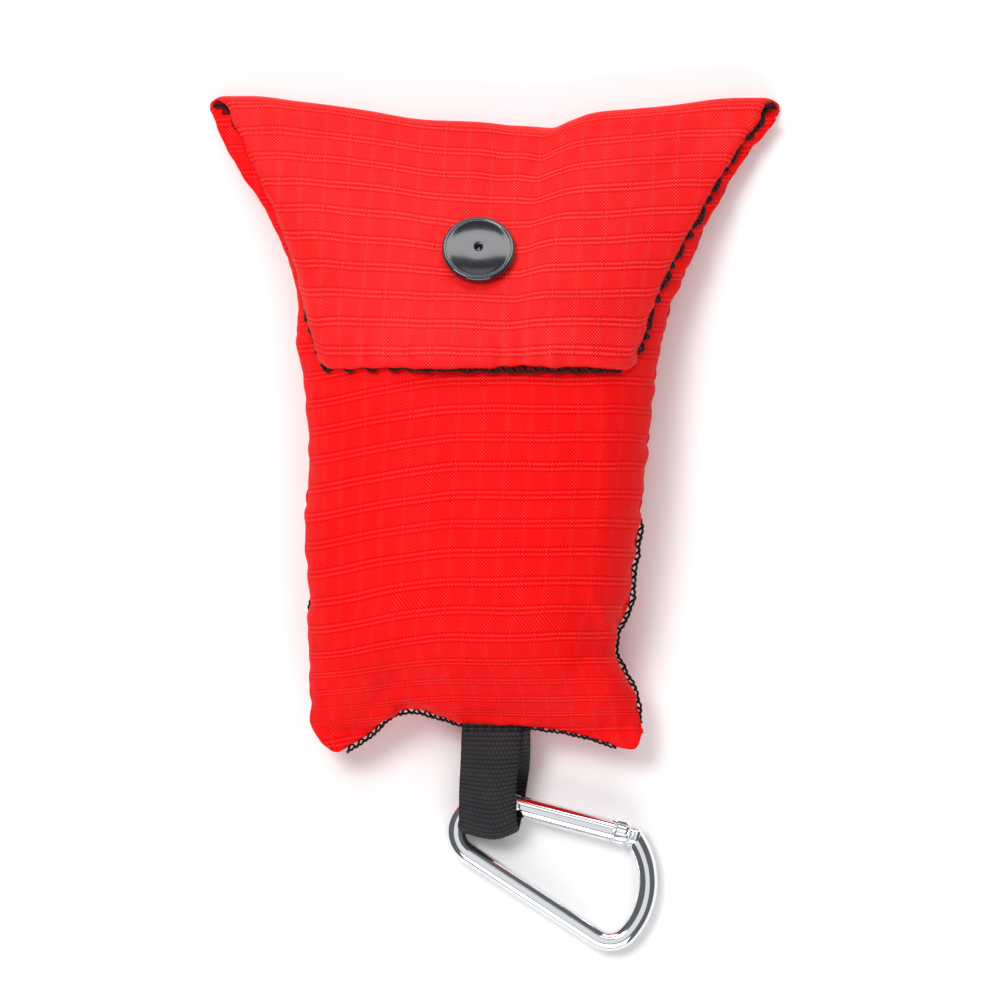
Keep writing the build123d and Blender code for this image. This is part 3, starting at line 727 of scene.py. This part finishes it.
def overlock(name, line, outward, up, pitch, half_width, centre, thread_r, body, *nodes):
    """Thread wrapped round an edge: loops that run over it and back beneath it, and the chain
    that locks them along the outside. centre is how far the loops sit beyond the edge, one value
    or one for each point of a line that is already at its spacing."""
    if np.ndim(centre) == 0:
        line = resample(line, pitch / LOOP_POINTS)
    turn = np.arange(len(line)) * 2 * pi / LOOP_POINTS
    outward, up = unit(np.array(outward, float)), unit(np.array(up, float))
    uneven = 1 + 0.14 * np.sin(turn * 0.37) + 0.1 * np.sin(turn * 0.83 + 1.0)
    wide = (half_width * uneven)[:, None]
    centre = np.broadcast_to(centre, (len(line),))[:, None]
    loops = (line + outward * (centre + wide * np.cos(turn)[:, None])
             + up * (LOOP_HEIGHT * np.sin(turn)[:, None]))
    chain = (line + outward * (centre + wide * 0.98 + 0.1 * np.cos(2 * turn)[:, None])
             + up * (0.14 * np.sin(2 * turn)[:, None]))
    place_piece(threads_piece(name, [loops, chain], thread_r), THREAD, body, "thread", *nodes)


def peeping(line, beat, low, high):
    """How far the chain stands out along a line, swinging unevenly between two values."""
    along = path_lengths(line)
    swing = np.sin(along * 2 * pi / beat + 1.5 * np.sin(along * 0.9) + 1.1 * np.sin(along * 0.37))
    return low + (high - low) * (0.5 + 0.5 * swing) ** 0.7 - 0.16 * (1 + np.sin(along * 0.61))


def sew_seams():
    """The left, right and bottom seams of the pouch; the chain shows at the right and below."""
    overlock("overlock_left", between(front_grid[:, 0], 1, -46.0, 57.0), (-1, 0, -0.15), (0, 0, 1),
             SEAM_PITCH, 0.45, 0.1, THIN, "pouch", "side_seam_left")
    overlock("overlock_right", between(front_grid[:, -1], 1, -45.6, 57.0), (1, 0, 0.1), (0, 0, 1),
             SEAM_PITCH, 0.42, 0.34, THIN, "pouch", "side_seam_right")
    line = resample(between(front_grid[0], 0, -24.0, 22.6), HEM_PITCH / LOOP_POINTS)
    out = 0.3 - 0.4 * ease(line[:, 0], -11.0, -4.0)
    overlock("overlock_bottom", line, (0.15, -1, 0.1), (0, 0, 1), HEM_PITCH, 0.42, out, THIN,
             "pouch", "bottom_seam")


def sew_hem():
    """Under the hem the chain peeps out in blobs at the left and all along it further on."""
    line = between(flap_points[HEM_START - 1] + (0, -1.0, -1.4), 0, -28.2, 23.4)
    line = resample(line, HEM_PITCH / LOOP_POINTS)
    x = line[:, 0]
    blobs = 0.06 + 0.6 * np.sin(2 * pi * (x + 0.8) / 3.9)
    out = blobs + (0.68 + 0.12 * np.sin(x * 1.7) - blobs) * ease(x, -15.0, -12.0)
    overlock("overlock_hem", line, (0, -1, 0), (0, 0.3, 1), HEM_PITCH, 0.42, out, THICK, "flap",
             "flap_overlock_end")


def sew_flap_sides():
    """Under the flap's sides the chain shows in dashes, and there is a tuft in each end of the
    fold."""
    line = resample(flap_points[20:HEM_START, -1] + (0, 0, -0.1), SIDE_PITCH / LOOP_POINTS)
    out = peeping(line, 3.4, -0.7, 0.42) - 0.3 * np.exp(-((line[:, 1] - 49.5) / 3.0) ** 2)
    overlock("overlock_flap_right", line, (1, -0.35, 0.1), (-0.2, 0, 1), SIDE_PITCH, 0.36, out,
             THICK, "fold", "flap_overlock_right")
    line = resample(flap_points[26:HEM_START, 0] + (0, 0, -0.1), SIDE_PITCH / LOOP_POINTS)
    out = peeping(line, 3.6, -0.7, 0.0) - 0.8 * ease(line[:, 1], 25.5, 28.0)
    overlock("overlock_flap_left", line, (-1, -0.2, 0.1), (0.2, 0, 1), SIDE_PITCH, 0.34, out,
             THIN, "fold", "flap_overlock_left")
    for name, side, inward in (("overlock_ear_left", 0, 1.0), ("overlock_ear_right", -1, -0.9)):
        line = resample(flap_points[12:34, side] + (inward, -0.9, -0.7), EAR_PITCH / LOOP_POINTS)
        overlock(name, line, (-inward, 0, 0), (0, 0, 1), EAR_PITCH, 0.4, 0.25, THICK, "fold")


sew_seams()
sew_hem()
sew_flap_sides()


# === Webbing loop ===
WEB_T, RIB_ALONG, RIB_ACROSS, RIB_H = 0.95, 0.8, 0.72, 0.26
BIGHT_Y, BIGHT_Z, BIGHT_R = -61.9, 3.95, 3.4


def webbing_path():
    """The middle of the strap's thickness (y, z), from the bottom seam down the front, round the
    bight and back up to the seam."""
    turn = np.radians(np.linspace(95, 270, 40))
    bight = np.stack([BIGHT_Y + BIGHT_R * np.cos(turn), BIGHT_Z + BIGHT_R * np.sin(turn)], axis=-1)
    front = [(-44.6, 8.85), (-47.0, 9.05), (-49.5, 9.2)]
    rear = [(-56.2, 0.6), (-54.6, 1.3), (-50.6, 6.7), (-49.0, 7.9), (-47.0, 8.05), (-44.6, 8.0)]
    path = np.concatenate([front, bight, rear])
    lengths = path_lengths(path)
    at = np.linspace(0, lengths[-1], 500)
    path = np.stack([np.interp(at, lengths, path[:, i]) for i in range(2)], axis=-1)
    for _ in range(24):
        path[1:-1] = (path[:-2] + 2 * path[1:-1] + path[2:]) / 4
    return path, path_lengths(path)


def make_webbing():
    path, lengths = webbing_path()
    total = lengths[-1]
    share = lengths / total
    middle_x = smooth_curve([(0, 1.3), (0.15, 0.85), (0.3, 0.45), (0.45, 0.6), (0.6, 1.6),
                             (0.75, 2.5), (1, 2.7)])(share)
    half = smooth_curve([(0, 5.25), (0.3, 4.95), (0.5, 5.1), (1, 5.2)])(share)
    across = np.linspace(-1, 1, 88)
    x = middle_x[:, None] + half[:, None] * across[None, :]
    along = unit(np.gradient(path, axis=0))
    out = np.stack([along[:, 1], -along[:, 0]], axis=-1)
    row = lengths[:, None] / RIB_ALONG
    shift = np.where(np.floor(row) % 2 == 0, 0.0, 0.5)
    rib = np.sin(pi * (row % 1)) ** 0.6
    knuckle = np.abs(np.sin(pi * (x / RIB_ACROSS + shift))) ** 0.5
    rib = rib * (0.4 + 0.6 * knuckle)
    raised = RIB_H * (rib - 0.5)
    edge = WEB_T / 2 * (1 - 0.45 * np.abs(across) ** 12)
    bow = 0.35 * (1 - across**2)[None, :] * np.sin(pi * np.clip(share, 0, 0.5) * 2)[:, None]
    bent = 1.5 * ease(across, 0.2, 1.25) + 1.4 * ease(-across, -0.2, 1.3)
    skew = bent[None, :] * np.exp(-((share - 0.42) / 0.2) ** 2)[:, None]
    layers = []
    for side in (1, -1):
        lift = side * (edge[None, :] + raised) + bow
        y = path[:, :1] + out[:, :1] * lift + skew
        z = np.maximum(path[:, 1:] + out[:, 1:] * lift, 0.02)
        layers.append(np.stack([x, y, z], axis=-1))
    rows, columns = x.shape
    piece = mesh_piece("webbing_strap", np.concatenate(layers).reshape(-1, 3),
                       shell_faces(columns, rows))
    shade = piece.data.attributes.new("rib", "FLOAT", "POINT")
    shade.data.foreach_set("value", np.concatenate([rib.ravel(), rib.ravel()]))
    enter_edit(piece)
    bpy.ops.mesh.normals_make_consistent(inside=False)
    bpy.ops.object.mode_set(mode="OBJECT")
    dress(piece, WEBBING)
    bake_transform(piece)
    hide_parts("webbing_loop")
    # A bar of dark stitches holds the strap in the bottom seam.
    stitches = []
    for row_y in (-46.1, -46.7):
        for x in np.arange(-3.6, 6.6, 1.5):
            stitches.append([(x, row_y, 9.35), (x + 0.15, row_y, 9.75), (x + 0.85, row_y, 9.75),
                             (x + 1.0, row_y, 9.35)])
    bar = threads_piece("loop_stitches", stitches, 0.16)
    place_piece(bar, THREAD, "pouch", "thread", "loop_stitching")


make_webbing()


# === Snap ===
def spun_piece(name, profile, steps=64):
    """Turn a profile of (radius, height) points in millimetres about the Z axis."""
    mesh = bpy.data.meshes.new(name)
    edges = [(i, i + 1) for i in range(len(profile) - 1)]
    mesh.from_pydata([(r * MM, 0, h * MM) for r, h in profile], edges, [])
    piece = bpy.data.objects.new(name, mesh)
    bpy.context.collection.objects.link(piece)
    enter_edit(piece)
    bpy.ops.mesh.spin(steps=steps, angle=2 * pi, center=(0, 0, 0), axis=(0, 0, 1))
    bpy.ops.mesh.select_all(action="SELECT")
    bpy.ops.mesh.remove_doubles(threshold=0.000005)
    bpy.ops.mesh.normals_make_consistent(inside=False)
    bpy.ops.object.mode_set(mode="OBJECT")
    smooth_to(piece, 38)
    return piece


def rounded(corners, radius, steps=5):
    """A profile with its inner corners rounded."""
    out = [corners[0]]
    for before, corner, after in zip(corners, corners[1:], corners[2:]):
        a, b, c = np.array(before, float), np.array(corner, float), np.array(after, float)
        reach = min(radius, np.linalg.norm(a - b) / 2.2, np.linalg.norm(c - b) / 2.2)
        start, end = b + unit(a - b) * reach, b + unit(c - b) * reach
        for t in np.linspace(0, 1, steps):
            out.append(tuple((1 - t) ** 2 * start + 2 * t * (1 - t) * b + t**2 * end))
    out.append(corners[-1])
    return [(max(0.0, float(r)), float(h)) for r, h in out]


# The snap's axis leans with the slope of the bulging front.
SNAP_LEAN = atan2(21.6 - 11.6, 46.0 - 27.0)


def snap_part(name, profile, low_along, body):
    """Spin one part and stand it on the snap's axis, with its own zero low_along millimetres
    above the lowest point of its CAD node along that axis."""
    piece, node = spun_piece(name, profile), "snap_" + name
    axis = Vector((0, sin(SNAP_LEAN), cos(SNAP_LEAN)))
    lowest = min(vertex.co.dot(axis) for vertex in bpy.data.objects[node].data.vertices)
    low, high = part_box(node)
    middle = (low + high) / 2
    place = middle + axis * (lowest + low_along * MM - middle.dot(axis))
    piece.data.transform(Matrix.Translation(place) @ Matrix.Rotation(-SNAP_LEAN, 4, "X"))
    place_piece(piece, SNAP_PLASTIC, body, "snap", node)


CAP_PROFILE = rounded([
    (0, -0.9), (0.9, -0.9), (0.9, 0), (5.6, 0), (6.25, 0.45), (6.3, 1), (6.05, 1.38), (5.7, 1.42),
    (5.5, 1.34), (5.2, 1.38), (4.4, 1.52), (3.4, 1.64), (2.4, 1.71), (1.5, 1.73), (0.72, 1.71),
    (0.5, 1.35), (0.42, 0.8), (0, 0.75)], 0.6)
SOCKET_PROFILE = rounded([
    (0.95, 0), (5.2, 0), (5.2, -0.7), (4.2, -1), (3.6, -1.8), (2.5, -1.8), (2.3, -1.2),
    (2.5, -0.5), (0.95, -0.5), (0.95, 0)], 0.25)
STUD_PROFILE = rounded([
    (0, 0), (5.2, 0), (5.2, 0.5), (4.6, 0.9), (1.9, 0.9), (1.85, 1.2), (2.2, 1.7), (1.9, 2.2),
    (1, 2.25), (0, 2)], 0.25)
STUD_CAP_PROFILE = rounded([
    (0, -0.9), (5.6, -0.9), (6.2, -0.6), (6.2, 0), (0.9, 0), (0.9, 1.6), (0, 1.6)], 0.25)
CAP_POST, SOCKET_DEEP, STUD_CAP_DEEP = 0.95, 1.8, 0.9
snap_part("cap", CAP_PROFILE, CAP_POST, "flap")
snap_part("socket", SOCKET_PROFILE, SOCKET_DEEP, "flap")
snap_part("stud", STUD_PROFILE, 0.0, "pouch")
snap_part("stud_cap", STUD_CAP_PROFILE, STUD_CAP_DEEP, "pouch")


# === Carabiner ===
ROD_R, GATE_R = 1.78, 1.95
SWING = Vector((0, -59.9, 3.5))
DROOP = radians(4.0)
BEND_X, BEND_R = -0.5, 4.6
SPINE_SLOPE, SPINE_L = radians(33.3), 26.8
CORNER_END, NOSE_END = np.array((24.9, -22.4)), np.array((25.5, -5.2))
PIVOT = np.array((5.5, -0.1))
GATE_SLOPE, LATCH_L = radians(-15.0), 18.9
TONGUE_T, TONGUE_R, HOOK_R = 1.6, 1.45, 0.75
NOSE_CUT, NOSE_SPARE = 21.15, 3.0
# Distance along the gate from its pivot, and share of its radius, of the rings it is drawn from.
GATE_RINGS = ((-1.7, 0.5), (-1.55, 0.74), (-1.2, 0.92), (-0.6, 1.0), (17.3, 1.0), (17.45, 0.94),
              (17.65, 0.94), (17.8, 1.0), (19.4, 1.0), (19.8, 0.97), (20.0, 0.88))
NOTCH_BAND, NOTCHES, NOTCH_DEEP = (17.82, 19.28), 10, 0.16
SLOT_T, SLOT_L = 1.9, 2.0
# Distance along the gate from its pivot, and radius, of the collar on the nose.
COLLAR_RINGS = ((20.3, 1.75), (20.42, 1.95), (20.75, 1.95), (20.85, 1.82), (20.95, 1.82),
                (21.05, 1.95), (21.5, 1.93), (21.95, 1.7), (22.1, 1.4))
RING = 64                # sides of a round rod


def arc_through(start, heading, end):
    """Centre and signed turn of the arc that leaves start along heading and reaches end."""
    normal = np.array((-heading[1], heading[0]))
    run = end - start
    reach = run.dot(run) / (2 * run.dot(normal))
    centre = start + normal * reach
    first, last = start - centre, end - centre
    turn = atan2(first[0] * last[1] - first[1] * last[0], first.dot(last))
    if reach > 0 and turn < 0:
        turn += 2 * pi
    if reach < 0 and turn > 0:
        turn -= 2 * pi
    return centre, turn


def turned(heading, turn):
    return np.array((heading[0] * cos(turn) - heading[1] * sin(turn),
                     heading[0] * sin(turn) + heading[1] * cos(turn)))


def set_on_axis(piece):
    """From the carabiner's own plane to its place: drooped about the axis it swings on."""
    piece.data.transform(Matrix.Translation(SWING * MM) @ Matrix.Rotation(DROOP, 4, "X"))


def end_ring(piece_name, radius, place, heading):
    """A ring of a rod's section at place (x, y), facing heading, open in edit mode."""
    turn = atan2(heading[1], heading[0])
    bpy.ops.object.select_all(action="DESELECT")
    bpy.ops.mesh.primitive_circle_add(vertices=RING, radius=radius * MM, fill_type="NOTHING",
                                      location=(place[0] * MM, place[1] * MM, 0),
                                      rotation=(pi / 2, 0, turn + pi / 2))
    piece = bpy.context.object
    piece.name = piece.data.name = piece_name
    bpy.ops.object.transform_apply(location=True, rotation=True, scale=True)
    bpy.ops.object.mode_set(mode="EDIT")
    bpy.ops.mesh.select_all(action="SELECT")
    return piece


def pull(heading, length, scale=1.0):
    """Extrude the selected ring along heading (mm), and scale its new end about its middle."""
    move = tuple(float(c) * length * MM for c in (*heading, 0.0)[:3])
    bpy.ops.mesh.extrude_region_move(TRANSFORM_OT_translate={"value": move})
    if scale != 1.0:
        bpy.ops.transform.resize(value=(scale, scale, scale))


def swing(centre, turn):
    """Spin the selected ring about centre (x, y) in the carabiner's plane."""
    bpy.ops.mesh.spin(steps=max(8, int(abs(degrees(turn)) / 4)), angle=-turn,
                      center=(centre[0] * MM, centre[1] * MM, 0), axis=(0, 0, 1))


def leave_edit(piece, sharp=34):
    bpy.ops.mesh.select_all(action="SELECT")
    bpy.ops.mesh.remove_doubles(threshold=0.000004)
    bpy.ops.mesh.fill_holes(sides=0)
    bpy.ops.mesh.normals_make_consistent(inside=False)
    bpy.ops.object.mode_set(mode="OBJECT")
    smooth_to(piece, sharp)


def plate(piece_name, outline, thickness):
    """A flat plate lying in the carabiner's plane, its edges eased."""
    bpy.ops.object.select_all(action="DESELECT")
    mesh = bpy.data.meshes.new(piece_name)
    mesh.from_pydata([(x * MM, y * MM, -thickness / 2 * MM) for x, y in outline], [],
                     [tuple(range(len(outline)))])
    piece = bpy.data.objects.new(piece_name, mesh)
    bpy.context.collection.objects.link(piece)
    enter_edit(piece)
    bpy.ops.mesh.extrude_region_move(TRANSFORM_OT_translate={"value": (0, 0, thickness * MM)})
    leave_edit(piece)
    finish_modifier(piece, "BEVEL", width=0.12 * MM, segments=2, limit_method="ANGLE",
                    angle_limit=radians(40))
    return piece


def join(first, *others):
    """Join pieces that are one solid part into the first."""
    bpy.ops.object.select_all(action="DESELECT")
    for piece in (first, *others):
        piece.select_set(True)
    bpy.context.view_layer.objects.active = first
    bpy.ops.object.join()
    return first


gate_run = np.array((cos(GATE_SLOPE), sin(GATE_SLOPE)))
gate_side = np.array((-gate_run[1], gate_run[0]))


def on_gate(along, across):
    """A place in the carabiner's plane from one measured along the gate from its pivot."""
    return PIVOT + gate_run * along + gate_side * across


def arc_points(centre, radius, first, last, count=14):
    """Points round an arc between two angles in degrees."""
    turn = np.radians(np.linspace(first, last, count))
    return [(centre[0] + radius * cos(t), centre[1] + radius * sin(t)) for t in turn]


def drawn_along_gate(piece_name, rings, radius):
    """A round piece drawn along the gate through rings of (distance, share of radius)."""
    piece = end_ring(piece_name, radius * rings[0][1], on_gate(rings[0][0], 0), gate_run)
    for (before, old), (after, new) in zip(rings, rings[1:]):
        pull(gate_run, after - before, new / old)
    return piece


def make_rod():
    """The bent rod, cut off at its nose and joined with its collar, the gate's tongue and the
    hook that holds the latch pin."""
    start, heading = np.array((3.2, 0.0)), np.array((-1.0, 0.0))
    rod = end_ring("carabiner_rod", ROD_R, start, heading)
    pull(heading, start[0] - BEND_X)
    bend = pi - SPINE_SLOPE
    swing((BEND_X, -BEND_R), bend)
    heading = turned(heading, bend)
    pull(heading, SPINE_L)
    place = np.array((BEND_X, -BEND_R)) + turned(np.array((0.0, BEND_R)), bend) + heading * SPINE_L
    for end in (CORNER_END, NOSE_END):
        centre, turn = arc_through(place, heading, end)
        swing(centre, turn)
        place, heading = end, turned(heading, turn)
    pull(heading, NOSE_SPARE)
    # The nose is cut off square to the gate, inside the collar that ends just clear of it.
    rod_mesh = bmesh.from_edit_mesh(rod.data)
    for face in rod_mesh.faces:
        face.select_set(all(v.co.x > 18 * MM and v.co.y > -12 * MM for v in face.verts))
    bmesh.update_edit_mesh(rod.data)
    cut = on_gate(NOSE_CUT, 0)
    bpy.ops.mesh.bisect(plane_co=(cut[0] * MM, cut[1] * MM, 0), plane_no=(*gate_run, 0),
                        clear_inner=True, use_fill=False)
    leave_edit(rod)
    tongue = [(2.4, -TONGUE_R), (PIVOT[0], PIVOT[1] - TONGUE_R)]
    tongue += arc_points(PIVOT, TONGUE_R, -90, 90)
    tongue += [(2.4, TONGUE_R)]
    hook = [(2.6, 1.2), (-1.1, 1.2), (-1.1, -0.2), (-HOOK_R, -0.2)]
    hook += arc_points((0, 0), HOOK_R, 180, 0)
    hook += [(HOOK_R, -1.4), (2.6, -1.4)]
    hook = [tuple(on_gate(LATCH_L + a, b)) for a, b in hook]
    collar = drawn_along_gate("nose_collar", COLLAR_RINGS, 1.0)
    leave_edit(collar, 24)
    rod = join(rod, collar, plate("tongue", tongue, TONGUE_T), plate("hook", hook, TONGUE_T))
    set_on_axis(rod)
    place_piece(rod, METAL, "carabiner", "polished_metal", "carabiner_body")


def make_gate():
    """A round tube, eased at both ends, forked over the tongue at one and over the hook at the
    other, where a band of notches is pressed into it."""
    gate = drawn_along_gate("gate_tube", GATE_RINGS, GATE_R)
    # Every other facet of the end band is pressed in.
    gate_mesh = bmesh.from_edit_mesh(gate.data)
    origin, along = Vector((*PIVOT, 0)) * MM, Vector((*gate_run, 0))
    side = Vector((*gate_side, 0))
    for face in gate_mesh.faces:
        place = face.calc_center_median() - origin
        turn = atan2(place.z, place.dot(side)) / (2 * pi) * NOTCHES
        in_band = NOTCH_BAND[0] < place.dot(along) / MM < NOTCH_BAND[1]
        face.select_set(in_band and turn % 1 < 0.5)
    bmesh.update_edit_mesh(gate.data)
    bpy.ops.mesh.inset(thickness=0.08 * MM, depth=-NOTCH_DEEP * MM)
    leave_edit(gate, 24)
    for start, length in ((-2 * GATE_R, 2 * GATE_R + SLOT_L), (LATCH_L - SLOT_L, 2 * SLOT_L)):
        middle = on_gate(start + length / 2, 0)
        bpy.ops.mesh.primitive_cube_add(size=1, location=(middle[0] * MM, middle[1] * MM, 0),
                                        rotation=(0, 0, GATE_SLOPE))
        cutter = bpy.context.object
        cutter.scale = (length * MM, 3 * GATE_R * MM, SLOT_T * MM)
        finish_modifier(gate, "BOOLEAN", operation="DIFFERENCE", object=cutter, solver="EXACT")
        bpy.data.objects.remove(cutter)
    smooth_to(gate, 30)
    set_on_axis(gate)
    place_piece(gate, METAL, "gate", "polished_metal", "carabiner_gate")


def make_pin(name, along, radius, half_length, body, node, material, slot_name):
    """A riveted pin across the gate, its ends domed."""
    dome = 0.35 * radius
    half = [(0.0, half_length + dome), (radius * 0.6, half_length + dome * 0.7),
            (radius, half_length)]
    profile = rounded(half + [(r, -h) for r, h in reversed(half)], 0.15)
    pin = spun_piece(name, profile, 32)
    place = on_gate(along, 0)
    pin.data.transform(Matrix.Translation((place[0] * MM, place[1] * MM, 0)))
    set_on_axis(pin)
    place_piece(pin, material, body, slot_name, node)


make_rod()
make_gate()
make_pin("pivot_rivet", 0.0, 0.68, 1.95, "carabiner", "gate_pivot_pin", METAL, "polished_metal")
make_pin("latch_pin", LATCH_L, 0.44, 1.8, "gate", "gate_latch_pin", STEEL, "steel")


# === Contents ===
SLOT_OF = {subpart["node"]: subpart["material_slot"] for subpart in frame["record"]["subparts"]}
FINISHES = {
    "paper_wrap": PAPER, "nitrile": NITRILE, "clear_film": FILM, "foil": FOIL,
    "white_plastic": VALVE_PLASTIC, "polished_metal": METAL, "steel": STEEL}


def soft_packet(node, seal):
    """A flat packet or folded pad in the room of its CAD node: crowned, thinner at its rim, with
    a pressed seal of that width (mm) where it has one."""
    low, high = (np.array(corner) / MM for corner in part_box(node))
    middle, half = (low + high) / 2, (high - low) / 2
    columns, rows = 40, 52
    u, v = np.meshgrid(np.linspace(-1, 1, columns), np.linspace(-1, 1, rows))
    corner = 1 - 0.03 * np.maximum(0, np.abs(u) + np.abs(v) - 1.6)
    x, y = middle[0] + half[0] * u * corner, middle[1] + half[1] * v * corner
    inside = np.minimum((1 - np.abs(u)) * half[0], (1 - np.abs(v)) * half[1]) - seal
    crown = ease(inside, 0.0, 4.0) ** 0.6
    ripple = 0.12 * slackness(x * 2, y * 2) * crown
    rim = 0.16
    thick = rim + (half[2] - rim) * np.clip(crown * (0.86 + ripple), 0, 1)
    top = np.stack([x, y, middle[2] + thick], axis=-1).reshape(-1, 3)
    bottom = np.stack([x, y, middle[2] - thick], axis=-1).reshape(-1, 3)
    piece = mesh_piece("soft_" + node, np.concatenate([top, bottom]), shell_faces(columns, rows))
    smooth_to(piece, 50)
    place_piece(piece, FINISHES[SLOT_OF[node]], "pouch", SLOT_OF[node], node)


for node, seal, fullness in (
        ("gauze_pad", 3.0, 0.6), ("glove_first", 0.0, 0.3), ("glove_second", 0.0, 0.3),
        ("plaster_first", 2.0, 0.3), ("plaster_second", 2.0, 0.3), ("plaster_third", 2.0, 0.3),
        ("plaster_fourth", 2.0, 0.3), ("face_shield", 0.0, 0.3), ("wipe_first", 3.0, 0.5),
        ("wipe_second", 3.0, 0.5)):
    soft_packet(node, seal)

# What is left of the CAD's own pieces: the valve, the gate's plunger and its spring.
for node, slot_name in SLOT_OF.items():
    if not bpy.data.objects[node].hide_render:
        dress(bpy.data.objects[node], FINISHES[slot_name])


# === Stage ===
# Name, place, width, height and watts of each soft lamp; all face the pouch.
LAMPS = (
    ("key", (-0.50, 0.48, 1.20), 0.50, 0.50, 10.0),
    ("overhead", (0.05, -0.25, 1.75), 1.50, 1.50, 5.0),
    ("front", (0.0, -1.30, 0.75), 1.60, 1.00, 13.0),
    ("back_high", (0.0, 0.82, 1.37), 1.40, 0.60, 2.8),
    ("back_low", (0.0, 1.25, 0.72), 1.40, 0.42, 8.0),
)
ROOM_LIGHT = 0.14


def make_stage():
    bpy.ops.object.select_all(action="DESELECT")
    bpy.ops.mesh.primitive_plane_add(size=6, location=(0, 0, -0.0002))
    floor = bpy.context.object
    floor.name = "floor"
    dress(floor, plain_material("white_paper_sweep", "#fdfdfd", 0.9))
    world = bpy.data.worlds.new("dim_room")
    world.use_nodes = True
    background = world.node_tree.nodes["Background"]
    background.inputs[0].default_value = (0.93, 0.95, 1, 1)
    background.inputs[1].default_value = ROOM_LIGHT
    bpy.context.scene.world = world
    for name, place, width, height, watts in LAMPS:
        lamp = bpy.data.lights.new(name, "AREA")
        lamp.shape = "RECTANGLE"
        lamp.energy, lamp.size, lamp.size_y = watts, width, height
        lamp_object = bpy.data.objects.new(name, lamp)
        lamp_object.location = place
        lamp_object.rotation_euler = (-Vector(place)).to_track_quat("-Z", "Y").to_euler()
        bpy.context.collection.objects.link(lamp_object)


def make_camera():
    data = bpy.data.cameras.new("camera")
    data.sensor_width = 36.0
    camera = bpy.data.objects.new("camera", data)
    bpy.context.collection.objects.link(camera)
    distance, look_at_z, view_width = 1.2, 0.014, 0.1724
    data.lens = 36.0 * distance / view_width
    data.clip_end = 20
    camera.location = (0.0026, -0.0069, look_at_z + distance)
    camera.rotation_euler = (0, 0, 0)
    bpy.context.scene.camera = camera
    bpy.context.scene.view_settings.view_transform = "Standard"


make_stage()
make_camera()
